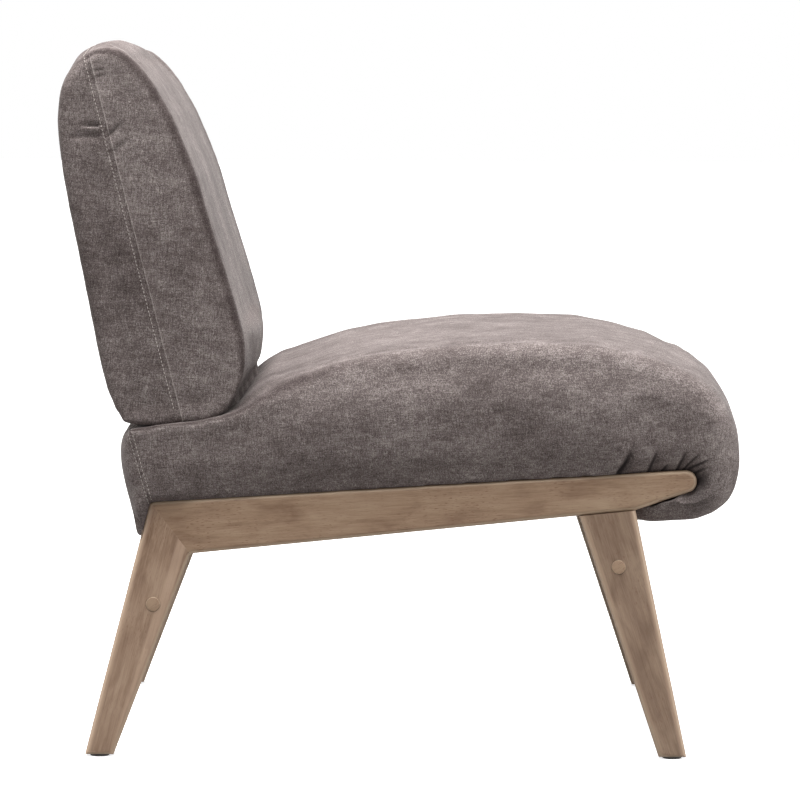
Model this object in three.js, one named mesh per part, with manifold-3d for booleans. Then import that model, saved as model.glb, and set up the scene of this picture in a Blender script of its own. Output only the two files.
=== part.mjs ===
// An armless lounge chair: two raked wooden side frames, a sprung and padded seat that is
// bolted between them, and a padded back that stands on the rear of the seat on two posts.
// Millimetres, +Z up, the chair faces +X, and the floor is z = 0.
import * as THREE from "three";
import { mergeVertices } from "three/addons/utils/BufferGeometryUtils.js";
import Module from "manifold-3d";

const wasm = await Module();
wasm.setup();

const radians = THREE.MathUtils.degToRad;

// Wooden side frames
const FRAME_WIDTH = 600;
const TIMBER = 32;
const EDGE_RADIUS = 6;
const RAIL_REAR_HEIGHT = 286.5;
const RAIL_REAR_DEPTH = 63;
const RAIL_LENGTH = 608;
const RAIL_SLOPE = radians(3.6);
const RAIL_UNDERSIDE_SLOPE = radians(5.9);
const NOSE_RADIUS = 12.5;
const NOSE_OVERHANG = 68;
const REAR_CORNER_RADIUS = 8;
const INSIDE_CORNER_RADIUS = 6;
const REAR_LEG_RAKE = radians(14.3);
const REAR_LEG_INNER_RAKE = radians(20.8);
const REAR_FOOT_WIDTH = 32;
const FRONT_LEG_RAKE = radians(12.1);
const FRONT_LEG_INNER_RAKE = radians(18.6);
const FRONT_FOOT_WIDTH = 31;

// Loose tenons that join each leg to its rail
const TENON_LENGTH = 44;
const TENON_WIDTH = 30;
const TENON_THICKNESS = 12;
const FRONT_TENON_LEAN = radians(6);

// Stretchers, their bolts, barrel nuts and wooden plugs
const STRETCHER_DEPTH = 42;
const STRETCHER_THICKNESS = 22;
const STRETCHER_EDGE = 4;
const REAR_STRETCHER_DROP = 114.5;
const FRONT_STRETCHER_DROP = 63.3;
const REAR_BOLT_PLACE_SHARE = 0.62;
const FRONT_BOLT_PLACE_SHARE = 0.44;
const PLUG_RADIUS = 8;
const PLUG_PROUD = 0.8;
const PLUG_CHAMFER = 0.8;
const COUNTERBORE_DEPTH = 12;
const BOLT_RADIUS = 4;
const BOLT_HEAD_RADIUS = 6.5;
const BOLT_HEAD_HEIGHT = 5.5;
const BOLT_IN_STRETCHER = 44;
const NUT_RADIUS = 6;
const NUT_LENGTH = 16;
const NUT_FROM_END = 32;

// Glides under the feet
const GLIDE_HEIGHT = 2.5;
const GLIDE_RADIUS = 11;
const GLIDE_EDGE = 0.7;
const GLIDE_NAIL_RADIUS = 1.2;
const GLIDE_NAIL_LENGTH = 14;

// Seat frame inside the upholstery
const SEAT_TIMBER = 22;
const SEAT_FRAME_HEIGHT = 33;
const SEAT_FRAME_SETBACK = 18;
const SEAT_ROLL_REACH = 90;
const CORNER_BLOCK = 50;
const WEBBING_THICKNESS = 2;
const WEBBING_WIDTH = 60;
const WEBBING_RAMP = 12;
const LONG_STRAP_COUNT = 3;
const CROSS_STRAP_COUNT = 2;
const SEAT_BOLT_LENGTH = 42;
const SEAT_BOLT_PLACE_SHARES = [0.24, 0.74];

// Cushions and their covers
const FABRIC = 1.5;
const SEAT_FRONT_OVERHANG = 60.3;
const SEAT_REAR_OVERHANG = 34.3;
const SEAT_CROWN_HEIGHT = 168.9;
const SEAT_SIDE_OVERHANG = 16;
const SEAT_SHELF_SHARE = 0.524;
const SEAT_SIDE_ROUND = 62;
const SEAT_CROWN_DROP = 10;
const BACK_SIDE_OVERHANG = 2;
const BACK_HEIGHT = 424.8;
const BACK_THICKNESS = 180.6;
const BACK_REAR = -30.7;
const BACK_LEAN = radians(7.7);
const BACK_SIDE_ROUND = 56;
const BACK_CROWN_DROP = 8;
const ROUND_REACH_SHARE = 0.775;
const SEAM_GAP = 0.4;
const FOAM_GAP = 0.5;
const HEM_WIDTH = 24;
const DUST_COVER_THICKNESS = 1;
const SEAT_SEAM_FOOT = 0.4;
const SEAT_SEAM_LEAN = radians(12.2);
const BACK_SEAM_FOOT = 59.1;
const BACK_SEAM_LEAN = radians(10.8);

// Back frame inside the upholstery
const POST_WIDTH = 35;
const POST_THICKNESS = 22;
const POST_FOOT = 6;
const POST_DROP = 61.3;
const BACK_RAIL_HEIGHT = 40;
const BACK_LOWER_RAIL_RISE = 23.5;
const PANEL_THICKNESS = 9;
const POST_BOLT_RADIUS = 3.5;
const POST_BOLT_HEAD_RADIUS = 6;
const POST_BOLT_HEAD_HEIGHT = 4;
const POST_BOLT_BITE = 14;
const REAR_POST_BOLT_PLACE_SHARE = 0.72;
const SIDE_POST_BOLT_PLACE_SHARE = 0.26;

// Clearances: FIT lies between pieces that seat on each other, GLUE_LINE between glued faces
const FIT = 0.3;
const GLUE_LINE = 0.2;
const OVERRUN = 40;

// Roundness of arcs and cylinders
const ARC_STEPS = 3;
const BEVEL_STEPS = 4;
const PIN_SIDES = 16;
const PLUG_SIDES = 28;
const NOSE_STEPS = 16;
const NOTCH_STEPS = 12;
const SIDE_TURNS = [radians(90), radians(72), radians(54), radians(36), radians(18)];
const CROWN_SHARES = [1, 0.6];

const FABRIC_COLOUR = 0x6e6360;
const WOOD_COLOUR = 0x8f7864;

const finishes = {
  oak: { color: WOOD_COLOUR, roughness: 0.55, metalness: 0 },
  plug: { color: 0x9a826d, roughness: 0.5, metalness: 0 },
  softwood: { color: 0xc9ad84, roughness: 0.8, metalness: 0 },
  plywood: { color: 0xc2a478, roughness: 0.8, metalness: 0 },
  chenille: { color: FABRIC_COLOUR, roughness: 0.95, metalness: 0 },
  foam: { color: 0xe4dcc4, roughness: 1, metalness: 0 },
  cambric: { color: 0x1c1b1a, roughness: 1, metalness: 0 },
  webbing: { color: 0x2c2a28, roughness: 0.9, metalness: 0 },
  steel: { color: 0xa8a9ab, roughness: 0.35, metalness: 1 },
  nylon: { color: 0x2a2825, roughness: 0.5, metalness: 0 },
};

const material = (finish) => new THREE.MeshStandardMaterial(finishes[finish]);

// Turns a closed geometry into a solid that can be cut and joined.
function solid(geometry) {
  const bare = geometry.clone();
  for (const name of Object.keys(bare.attributes)) {
    if (name !== "position") bare.deleteAttribute(name);
  }
  const merged = mergeVertices(bare);
  return new wasm.Manifold(
    new wasm.Mesh({
      numProp: 3,
      vertProperties: merged.attributes.position.array,
      triVerts: new Uint32Array(merged.index.array),
    }),
  );
}

// Gives a solid back as a flat-shaded geometry.
function geometryOf(body) {
  const mesh = body.getMesh();
  const geometry = new THREE.BufferGeometry();
  geometry.setAttribute("position", new THREE.BufferAttribute(mesh.vertProperties, mesh.numProp));
  geometry.setIndex(new THREE.BufferAttribute(mesh.triVerts, 1));
  const flat = geometry.toNonIndexed();
  flat.computeVertexNormals();
  return flat;
}

function named(name, body, finish) {
  const mesh = new THREE.Mesh(geometryOf(body), material(finish));
  mesh.name = name;
  return mesh;
}

const cut = (body, ...tools) => tools.reduce((rest, tool) => rest.subtract(tool), body);

// Outlines lie in the X-Z plane as Vector2(x, z)
const at = (x, z) => new THREE.Vector2(x, z);
const along = (start, angle, length) =>
  at(start.x + Math.cos(angle) * length, start.y + Math.sin(angle) * length);

// A point, in the outline's plane or in space, moved along a direction.
function shifted(point, direction, distance) {
  return point.clone().addScaledVector(direction, distance);
}

// Where the line through a at angle p meets the line through b at angle q.
function crossing(a, p, b, q) {
  const bottom = Math.sin(p - q);
  const reach = (Math.cos(q) * (b.y - a.y) - Math.sin(q) * (b.x - a.x)) / bottom;
  return along(a, p, reach);
}

// A closed outline whose corners are rounded: each corner is { point, radius }.
function roundedShape(corners) {
  const shape = new THREE.Shape();
  corners.forEach(({ point, radius = 0 }, i) => {
    if (radius === 0) {
      if (i === 0) shape.moveTo(point.x, point.y);
      else shape.lineTo(point.x, point.y);
      return;
    }
    const before = corners[(i + corners.length - 1) % corners.length].point;
    const after = corners[(i + 1) % corners.length].point;
    const toBefore = before.clone().sub(point).normalize();
    const toAfter = after.clone().sub(point).normalize();
    const half = Math.acos(THREE.MathUtils.clamp(toBefore.dot(toAfter), -1, 1)) / 2;
    const reach = radius / Math.tan(half);
    const bisector = toBefore.clone().add(toAfter).normalize();
    const centre = shifted(point, bisector, radius / Math.sin(half));
    const start = shifted(point, toBefore, reach);
    const end = shifted(point, toAfter, reach);
    const turn = toBefore.cross(toAfter);
    shape.absarc(
      centre.x,
      centre.y,
      radius,
      start.clone().sub(centre).angle(),
      end.clone().sub(centre).angle(),
      turn > 0,
    );
  });
  shape.closePath();
  return shape;
}

// An outline in the X-Z plane given thickness from y = low to y = high, with rounded rims.
function slab(shape, low, high, rim = 0) {
  const geometry = new THREE.ExtrudeGeometry(shape, {
    depth: high - low - 2 * rim,
    curveSegments: ARC_STEPS,
    bevelEnabled: rim > 0,
    bevelThickness: rim,
    bevelSize: rim,
    bevelOffset: -rim,
    bevelSegments: BEVEL_STEPS,
  });
  geometry.rotateX(Math.PI / 2);
  geometry.translate(0, high - rim, 0);
  return solid(geometry);
}

const polygon = (...points) => new THREE.Shape(points);

// A box from corner to corner.
function block(low, high) {
  const size = new THREE.Vector3().subVectors(high, low);
  const geometry = new THREE.BoxGeometry(size.x, size.y, size.z);
  geometry.translate(low.x + size.x / 2, low.y + size.y / 2, low.z + size.z / 2);
  return solid(geometry);
}

const corner = (x, y, z) => new THREE.Vector3(x, y, z);

// A round bar whose axis starts at a point and runs along a direction.
function bar(start, direction, radius, length, sides = PIN_SIDES) {
  const geometry = new THREE.CylinderGeometry(radius, radius, length, sides);
  geometry.translate(0, length / 2, 0);
  const up = new THREE.Vector3(0, 1, 0);
  geometry.applyQuaternion(new THREE.Quaternion().setFromUnitVectors(up, direction));
  geometry.translate(start.x, start.y, start.z);
  return solid(geometry);
}

// A turned piece: profile points are (radius, distance along the direction from start).
function turned(start, direction, profile, sides) {
  const geometry = new THREE.LatheGeometry(profile, sides);
  const up = new THREE.Vector3(0, 1, 0);
  geometry.applyQuaternion(new THREE.Quaternion().setFromUnitVectors(up, direction));
  geometry.translate(start.x, start.y, start.z);
  return solid(geometry);
}

// Widths of the cushions, over the side frames
const seatWidth = FRAME_WIDTH + 2 * SEAT_SIDE_OVERHANG;
const backWidth = FRAME_WIDTH + 2 * BACK_SIDE_OVERHANG;

// Lengths and heights along the seat, which follow the rails and the crown
const seatRear = -SEAT_REAR_OVERHANG;
const seatDepth = SEAT_REAR_OVERHANG + RAIL_LENGTH + SEAT_FRONT_OVERHANG;
const seatFrameFront = RAIL_LENGTH - SEAT_FRAME_SETBACK;
const seatRollStart = seatFrameFront - SEAT_ROLL_REACH;
const shelfHeight = SEAT_CROWN_HEIGHT * SEAT_SHELF_SHARE;
const postTop = shelfHeight + BACK_HEIGHT - POST_DROP;
const lowerRailBottom = shelfHeight + BACK_LOWER_RAIL_RISE;

// The side frame's construction lines, from the rail's rear top corner at x = 0
const halfWidth = FRAME_WIDTH / 2;
const innerFace = halfWidth - TIMBER;
const down = (rake) => -Math.PI / 2 + rake;
const rearCorner = at(0, RAIL_REAR_HEIGHT);
const undersideStart = at(0, RAIL_REAR_HEIGHT - RAIL_REAR_DEPTH);
const rearToe = crossing(rearCorner, down(-REAR_LEG_RAKE), at(0, GLIDE_HEIGHT), 0);
const rearHeel = at(rearToe.x + REAR_FOOT_WIDTH, GLIDE_HEIGHT);
const rearInside = crossing(
  rearHeel,
  Math.PI / 2 - REAR_LEG_INNER_RAKE,
  undersideStart,
  RAIL_UNDERSIDE_SLOPE,
);
const railEnd = along(rearCorner, RAIL_SLOPE, RAIL_LENGTH - NOSE_RADIUS);
const noseCentre = along(railEnd, RAIL_SLOPE - Math.PI / 2, NOSE_RADIUS);
const noseTip = along(noseCentre, RAIL_SLOPE, NOSE_RADIUS);
const frontLegTop = crossing(
  at(noseTip.x - NOSE_OVERHANG, 0),
  Math.PI / 2,
  undersideStart,
  RAIL_UNDERSIDE_SLOPE,
);
const frontToe = crossing(frontLegTop, down(FRONT_LEG_RAKE), at(0, GLIDE_HEIGHT), 0);
const frontHeel = at(frontToe.x - FRONT_FOOT_WIDTH, GLIDE_HEIGHT);
const frontInside = crossing(
  frontHeel,
  Math.PI / 2 + FRONT_LEG_INNER_RAKE,
  undersideStart,
  RAIL_UNDERSIDE_SLOPE,
);

// The angle of the line from the front leg's top corner that just touches the nose's round.
function noseUndersideAngle() {
  const toCentre = noseCentre.clone().sub(frontLegTop);
  return toCentre.angle() - Math.asin(NOSE_RADIUS / toCentre.length());
}

// Rail and rear leg as one board, before the mitre is sawn.
function sideFrameBlank() {
  const noseAngle = noseUndersideAngle();
  const low = noseAngle - Math.PI / 2;
  const turn = RAIL_SLOPE + Math.PI / 2 - low;
  const nose = Array.from({ length: NOSE_STEPS + 1 }, (_, i) => ({
    point: along(noseCentre, low + (turn * i) / NOSE_STEPS, NOSE_RADIUS),
  }));
  const outline = roundedShape([
    { point: rearCorner, radius: REAR_CORNER_RADIUS },
    { point: rearToe },
    { point: rearHeel },
    { point: rearInside, radius: INSIDE_CORNER_RADIUS },
    { point: frontLegTop },
    ...nose,
  ]);
  return slab(outline, innerFace, halfWidth, EDGE_RADIUS);
}

// Half of a very large slab, on the left-hand side of the line from a to b.
function halfSpace(a, b, low, high) {
  const direction = b.clone().sub(a).normalize();
  const side = at(-direction.y, direction.x);
  const reach = RAIL_LENGTH + RAIL_REAR_HEIGHT;
  const start = shifted(a, direction, -reach);
  const end = shifted(a, direction, reach);
  const outline = polygon(start, end, shifted(end, side, reach), shifted(start, side, reach));
  return slab(outline, low, high);
}

const acrossFrame = [innerFace - OVERRUN, halfWidth + OVERRUN];

// A loose tenon and its mortise share this shape: a stadium section along its length. The
// corner radius stays a hair under half the thickness, so that the ends keep a narrow flat.
function tenon(centre, angle, grow) {
  const halfLength = TENON_LENGTH / 2 + grow;
  const halfWide = TENON_WIDTH / 2 + grow;
  const halfThick = TENON_THICKNESS / 2 + grow;
  const radius = halfThick - GLUE_LINE;
  const section = roundedShape([
    { point: at(-halfWide, -halfThick), radius },
    { point: at(halfWide, -halfThick), radius },
    { point: at(halfWide, halfThick), radius },
    { point: at(-halfWide, halfThick), radius },
  ]);
  const geometry = new THREE.ExtrudeGeometry(section, {
    depth: 2 * halfLength,
    curveSegments: ARC_STEPS - 1,
    bevelEnabled: false,
  });
  geometry.translate(0, 0, -halfLength);
  const basis = new THREE.Matrix4().makeBasis(
    corner(-Math.sin(angle), 0, Math.cos(angle)),
    corner(0, 1, 0),
    corner(-Math.cos(angle), 0, -Math.sin(angle)),
  );
  geometry.applyMatrix4(basis);
  geometry.translate(centre.x, halfWidth - TIMBER / 2, centre.y);
  return solid(geometry);
}

const mitreMiddle = rearCorner.clone().lerp(rearInside, 1 / 2);
const mitreAngle = rearInside.clone().sub(rearCorner).angle();
const frontJointMiddle = frontInside.clone().lerp(frontLegTop, 1 / 2);
const rearTenonAngle = mitreAngle + Math.PI / 2;
const frontTenonAngle = RAIL_UNDERSIDE_SLOPE + Math.PI / 2 + FRONT_TENON_LEAN;

// Where a leg's bolt crosses it: a share of the leg's width, at a height.
function boltPlace(outer, outerAngle, inner, innerAngle, height, share) {
  const level = at(0, height);
  const a = crossing(outer, outerAngle, level, 0);
  const b = crossing(inner, innerAngle, level, 0);
  return a.lerp(b, share);
}

const rearBolt = boltPlace(
  rearCorner,
  down(-REAR_LEG_RAKE),
  rearHeel,
  Math.PI / 2 - REAR_LEG_INNER_RAKE,
  RAIL_REAR_HEIGHT - REAR_STRETCHER_DROP,
  REAR_BOLT_PLACE_SHARE,
);
const frontBolt = boltPlace(
  frontHeel,
  Math.PI / 2 + FRONT_LEG_INNER_RAKE,
  frontToe,
  Math.PI / 2 + FRONT_LEG_RAKE,
  frontLegTop.y - FRONT_STRETCHER_DROP,
  FRONT_BOLT_PLACE_SHARE,
);

const outward = corner(0, 1, 0);
const inward = corner(0, -1, 0);
const upward = corner(0, 0, 1);

// The counterbored hole that a leg takes for its stretcher bolt, from its outer face.
function legBoltHole(place) {
  const face = corner(place.x, halfWidth - COUNTERBORE_DEPTH, place.y);
  return bar(face, outward, PLUG_RADIUS + FIT, COUNTERBORE_DEPTH + OVERRUN, PLUG_SIDES).add(
    bar(face, inward, BOLT_RADIUS + FIT, TIMBER + OVERRUN),
  );
}

const footMiddle = (toe, heel) => toe.clone().lerp(heel, 1 / 2);

function glideHole(foot) {
  const start = corner(foot.x, halfWidth - TIMBER / 2, foot.y - OVERRUN);
  return bar(start, upward, GLIDE_NAIL_RADIUS + FIT, OVERRUN + GLIDE_NAIL_LENGTH + FIT);
}

// The tilted frame of the seat: u runs forward along the rail's top, w square to it.
const seatToWorld = (u, w) =>
  at(
    rearCorner.x + u * Math.cos(RAIL_SLOPE) - w * Math.sin(RAIL_SLOPE),
    rearCorner.y + u * Math.sin(RAIL_SLOPE) + w * Math.cos(RAIL_SLOPE),
  );

// Seat frame levels, in the seat's tilted frame
const webbingStack = 2 * WEBBING_THICKNESS + 4 * FIT;
const frameTop = -webbingStack;
const frameBottom = frameTop - SEAT_FRAME_HEIGHT;
const undersideDrop = 4 * FIT + FABRIC - frameBottom;
const coverSide = innerFace - FIT;
const frameHalf = coverSide - FABRIC - FIT;
const frameInside = frameHalf - SEAT_TIMBER;
const seatBoltPlaces = SEAT_BOLT_PLACE_SHARES.map((share) =>
  at(seatFrameFront * share, (frameTop + frameBottom) / 2),
);

// How far a seat bolt reaches into the wooden side rail.
const seatBoltEnd = frameInside - FIT + SEAT_BOLT_LENGTH;

function sideRailBoltHoles() {
  return seatBoltPlaces.map((place) => {
    const world = seatToWorld(place.x, place.y);
    const start = corner(world.x, innerFace - OVERRUN, world.y);
    return bar(start, outward, BOLT_RADIUS + FIT, OVERRUN + seatBoltEnd - innerFace + FIT);
  });
}

function sideRail() {
  const direction = at(Math.cos(mitreAngle), Math.sin(mitreAngle));
  const offRail = at(direction.y, -direction.x);
  const sawn = halfSpace(
    shifted(rearInside, offRail, -GLUE_LINE / 2),
    shifted(rearCorner, offRail, -GLUE_LINE / 2),
    ...acrossFrame,
  );
  return cut(
    sideFrameBlank(),
    sawn,
    tenon(mitreMiddle, rearTenonAngle, FIT),
    tenon(frontJointMiddle, frontTenonAngle, FIT),
    ...sideRailBoltHoles(),
  );
}

function rearLeg() {
  const direction = at(Math.cos(mitreAngle), Math.sin(mitreAngle));
  const offLeg = at(-direction.y, direction.x);
  const sawn = halfSpace(
    shifted(rearCorner, offLeg, -GLUE_LINE / 2),
    shifted(rearInside, offLeg, -GLUE_LINE / 2),
    ...acrossFrame,
  );
  return cut(
    sideFrameBlank(),
    sawn,
    tenon(mitreMiddle, rearTenonAngle, FIT),
    legBoltHole(rearBolt),
    glideHole(footMiddle(rearToe, rearHeel)),
  );
}

function frontLeg() {
  const overrun = OVERRUN / Math.cos(FRONT_LEG_INNER_RAKE);
  const blank = slab(
    polygon(
      frontToe,
      along(frontLegTop, Math.PI / 2 + FRONT_LEG_RAKE, overrun),
      along(frontInside, Math.PI / 2 + FRONT_LEG_INNER_RAKE, overrun),
      frontHeel,
    ),
    innerFace,
    halfWidth,
    EDGE_RADIUS,
  );
  const lowered = at(Math.sin(RAIL_UNDERSIDE_SLOPE), -Math.cos(RAIL_UNDERSIDE_SLOPE));
  const sawn = halfSpace(
    shifted(frontInside, lowered, GLUE_LINE),
    shifted(frontLegTop, lowered, GLUE_LINE),
    ...acrossFrame,
  );
  return cut(
    blank,
    sawn,
    tenon(frontJointMiddle, frontTenonAngle, FIT),
    legBoltHole(frontBolt),
    glideHole(footMiddle(frontToe, frontHeel)),
  );
}

function stretcherBolt(place) {
  const seat = corner(place.x, halfWidth - COUNTERBORE_DEPTH + FIT, place.y);
  const shank = TIMBER - COUNTERBORE_DEPTH + 2 * FIT + BOLT_IN_STRETCHER;
  const inHead = shifted(seat, outward, BOLT_HEAD_HEIGHT / 2);
  return bar(seat, outward, BOLT_HEAD_RADIUS, BOLT_HEAD_HEIGHT).add(
    bar(inHead, inward, BOLT_RADIUS, shank + BOLT_HEAD_HEIGHT / 2),
  );
}

function plug(place) {
  const inner = COUNTERBORE_DEPTH - BOLT_HEAD_HEIGHT - 2 * FIT;
  const start = corner(place.x, halfWidth - inner, place.y);
  const length = inner + PLUG_PROUD;
  const profile = [
    at(0, 0),
    at(PLUG_RADIUS, 0),
    at(PLUG_RADIUS, length - PLUG_CHAMFER),
    at(PLUG_RADIUS - PLUG_CHAMFER, length),
    at(0, length),
  ];
  return turned(start, outward, profile, PLUG_SIDES);
}

// The direction across a stretcher's thickness, square to the leg's middle line.
function stretcherFrame(foot, place) {
  const grain = place.clone().sub(foot).normalize();
  return { grain, flat: at(grain.y, -grain.x) };
}

function barrelNut(foot, place) {
  const { flat } = stretcherFrame(foot, place);
  const direction = corner(flat.x, 0, flat.y);
  const middle = corner(place.x, innerFace - FIT - NUT_FROM_END, place.y);
  const start = shifted(middle, direction, -NUT_LENGTH / 2);
  return cut(bar(start, direction, NUT_RADIUS, NUT_LENGTH), boltBore(place));
}

function boltBore(place) {
  const start = corner(place.x, innerFace + OVERRUN, place.y);
  return bar(start, inward, BOLT_RADIUS + FIT, OVERRUN + FIT + BOLT_IN_STRETCHER + FIT);
}

// A nut's bore goes on to the stretcher's face, so that the nut can be put in.
function nutPocket(foot, place) {
  const { flat } = stretcherFrame(foot, place);
  const direction = corner(flat.x, 0, flat.y);
  const middle = corner(place.x, innerFace - FIT - NUT_FROM_END, place.y);
  const start = shifted(middle, direction, -NUT_LENGTH / 2 - FIT);
  return bar(start, direction, NUT_RADIUS + FIT, NUT_LENGTH + STRETCHER_THICKNESS);
}

function mirrored(body) {
  return body.mirror([0, 1, 0]);
}

function stretcher(foot, place) {
  const { grain, flat } = stretcherFrame(foot, place);
  const reach = (up, across) => {
    const level = shifted(place, grain, (STRETCHER_DEPTH / 2) * up);
    return shifted(level, flat, (STRETCHER_THICKNESS / 2) * across);
  };
  const shape = roundedShape([
    { point: reach(-1, -1), radius: STRETCHER_EDGE },
    { point: reach(-1, 1), radius: STRETCHER_EDGE },
    { point: reach(1, 1), radius: STRETCHER_EDGE },
    { point: reach(1, -1), radius: STRETCHER_EDGE },
  ]);
  const holes = boltBore(place).add(nutPocket(foot, place));
  return cut(slab(shape, FIT - innerFace, innerFace - FIT), holes, mirrored(holes));
}

function glide(foot) {
  const start = corner(foot.x, halfWidth - TIMBER / 2, 0);
  const top = GLIDE_HEIGHT - FIT;
  const profile = [
    at(0, 0),
    at(GLIDE_RADIUS - GLIDE_EDGE, 0),
    at(GLIDE_RADIUS, GLIDE_EDGE),
    at(GLIDE_RADIUS, top),
    at(GLIDE_NAIL_RADIUS, top),
    at(GLIDE_NAIL_RADIUS, top + GLIDE_NAIL_LENGTH),
    at(0, top + GLIDE_NAIL_LENGTH),
  ];
  return turned(start, upward, profile, PIN_SIDES);
}

// Two sides of the chair, each piece made for the left (+Y) side and mirrored for the right.
function pair(group, name, body, finish) {
  group.add(named(`${name}_left`, body, finish));
  group.add(named(`${name}_right`, mirrored(body), finish));
}

function woodenBase() {
  const base = new THREE.Group();
  pair(base, "side_rail", sideRail(), "oak");
  pair(base, "rear_leg", rearLeg(), "oak");
  pair(base, "front_leg", frontLeg(), "oak");
  pair(base, "rear_joint_tenon", tenon(mitreMiddle, rearTenonAngle, 0), "softwood");
  pair(base, "front_joint_tenon", tenon(frontJointMiddle, frontTenonAngle, 0), "softwood");
  const ends = [
    ["rear", rearBolt, footMiddle(rearToe, rearHeel)],
    ["front", frontBolt, footMiddle(frontToe, frontHeel)],
  ];
  for (const [end, place, foot] of ends) {
    base.add(named(`${end}_stretcher`, stretcher(foot, place), "oak"));
    pair(base, `${end}_stretcher_bolt`, stretcherBolt(place), "steel");
    pair(base, `${end}_barrel_nut`, barrelNut(foot, place), "steel");
    pair(base, `${end}_bolt_plug`, plug(place), "plug");
    pair(base, `${end}_foot_glide`, glide(foot), "nylon");
  }
  return base;
}

// Cushion outlines, in the seat's tilted frame. Each row is a place along the cushion, a place
// up it, and how much of the side rounding that point takes. Points of the underside also say
// how much of the crown's drop they take, which is the rounding's share elsewhere.
const seatOutlineShares = [
  [0.022, -1, 0],
  [0.07, -1, 0.6, 0],
  [0.12, -1, 1.5, 0],
  [0.25, -1, 1.77, 0],
  [0.5, -1, 1.77, 0],
  [0.7, -1, 1.77, 0],
  [0.75, -1, 1.6, 0],
  [0.803, -1.34, 1.2, 0.3],
  [0.838, -1.48, 0.9, 0.5],
  [0.875, -1.53, 0.7],
  [0.911, -1.52, 0.6],
  [0.945, -1.34, 0.55],
  [0.973, -1.02, 0.55],
  [0.989, -0.6, 0.55],
  [0.999, 0.004, 0.55],
  [1, 0.11, 0.6],
  [0.997, 0.223, 0.6],
  [0.99, 0.336, 0.65],
  [0.977, 0.451, 0.7],
  [0.959, 0.565, 0.8],
  [0.929, 0.686, 0.9],
  [0.873, 0.811, 1],
  [0.827, 0.879, 1],
  [0.758, 0.95, 1],
  [0.659, 0.988, 1],
  [0.556, 1, 1],
  [0.431, 0.974, 1],
  [0.364, 0.935, 1],
  [0.283, 0.843, 0.9],
  [0.25, 0.793, 0.75],
  [0.223, 0.717, 0.5],
  [0.191, 0.6, 0.2],
  [0.167, 0.553, 0.06],
  [0.136, 0.53, 0.06],
  [0.089, SEAT_SHELF_SHARE, 0.06],
  [0.027, 0.513, 0.08],
  [0.012, 0.481, 0.16],
  [0.004, 0.412, 0.28],
  [0, 0.33, 0.34],
  [0.001, 0.2, 0.34],
  [0.008, 0.031, 0.3],
  [0.017, -0.52, 0.15],
];

const backOutlineShares = [
  [0.196, 0, 0],
  [0.39, 0.003, 0],
  [0.575, 0.006, 0],
  [0.701, 0.014, 0],
  [0.799, 0.033, 0.1],
  [0.874, 0.064, 0.25],
  [0.945, 0.106, 0.45],
  [0.981, 0.155, 0.55],
  [0.996, 0.2, 0.65],
  [1, 0.266, 0.7],
  [0.983, 0.356, 0.7],
  [0.959, 0.445, 0.7],
  [0.935, 0.536, 0.7],
  [0.92, 0.625, 0.75],
  [0.882, 0.714, 0.75],
  [0.833, 0.805, 0.75],
  [0.753, 0.895, 0.75],
  [0.688, 0.942, 0.75],
  [0.605, 0.978, 0.75],
  [0.485, 1, 0.75],
  [0.376, 0.992, 0.75],
  [0.285, 0.975, 0.75],
  [0.213, 0.953, 0.75],
  [0.133, 0.912, 0.7],
  [0.083, 0.875, 0.65],
  [0.036, 0.798, 0.65],
  [0.013, 0.725, 0.65],
  [0.001, 0.64, 0.65],
  [0, 0.554, 0.6],
  [0.001, 0.45, 0.6],
  [0.001, 0.343, 0.6],
  [0.001, 0.236, 0.6],
  [0.006, 0.15, 0.5],
  [0.026, 0.086, 0.35],
  [0.055, 0.037, 0.2],
  [0.107, 0.004, 0.05],
];

// A place on a plane that leans back with the chair's back: from its foot on the seat's datum.
const leaning = (foot, up) => at(foot - up * Math.tan(BACK_LEAN), up);

// Heights over the rails are shares of the crown's, those below of the underside's drop.
const seatPlace = (along, up) =>
  at(seatRear + seatDepth * along, up * (up < 0 ? undersideDrop : SEAT_CROWN_HEIGHT));
const backPlace = (along, up) =>
  leaning(BACK_REAR + BACK_THICKNESS * along, shelfHeight + BACK_HEIGHT * up);

// The rows of an outline as a closed loop of points with their outward normals.
function outlineOf(rows, placeOf) {
  const points = rows.map(([along, up]) => placeOf(along, up));
  return points.map((point, i) => {
    const before = points[(i + points.length - 1) % points.length];
    const after = points[(i + 1) % points.length];
    const tangent = after.clone().sub(before).normalize();
    const [, , roundShare, crownShare = roundShare] = rows[i];
    return { point, normal: at(tangent.y, -tangent.x), roundShare, crownShare };
  });
}

const seatOutline = outlineOf(seatOutlineShares, seatPlace);
const backOutline = outlineOf(backOutlineShares, backPlace);

// The rings of a cushion from one side to the other: y, and how far the outline draws in there
// for the crown and for the side rounding.
function cushionStations(width, round, crownDrop, grow) {
  const flatHalf = width / 2 - round * ROUND_REACH_SHARE;
  const reach = width / 2 + grow - flatHalf;
  const side = SIDE_TURNS.map((turn) => ({
    y: flatHalf + reach * Math.sin(turn),
    crown: crownDrop,
    rounding: round * (1 - Math.cos(turn)),
  }));
  const middle = CROWN_SHARES.map((share) => ({
    y: flatHalf * share,
    crown: crownDrop * share * share,
    rounding: 0,
  }));
  const half = [...side, ...middle];
  const right = half.map((station) => ({ ...station, y: -station.y }));
  return [...right, { y: 0, crown: 0, rounding: 0 }, ...half.reverse()];
}

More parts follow.
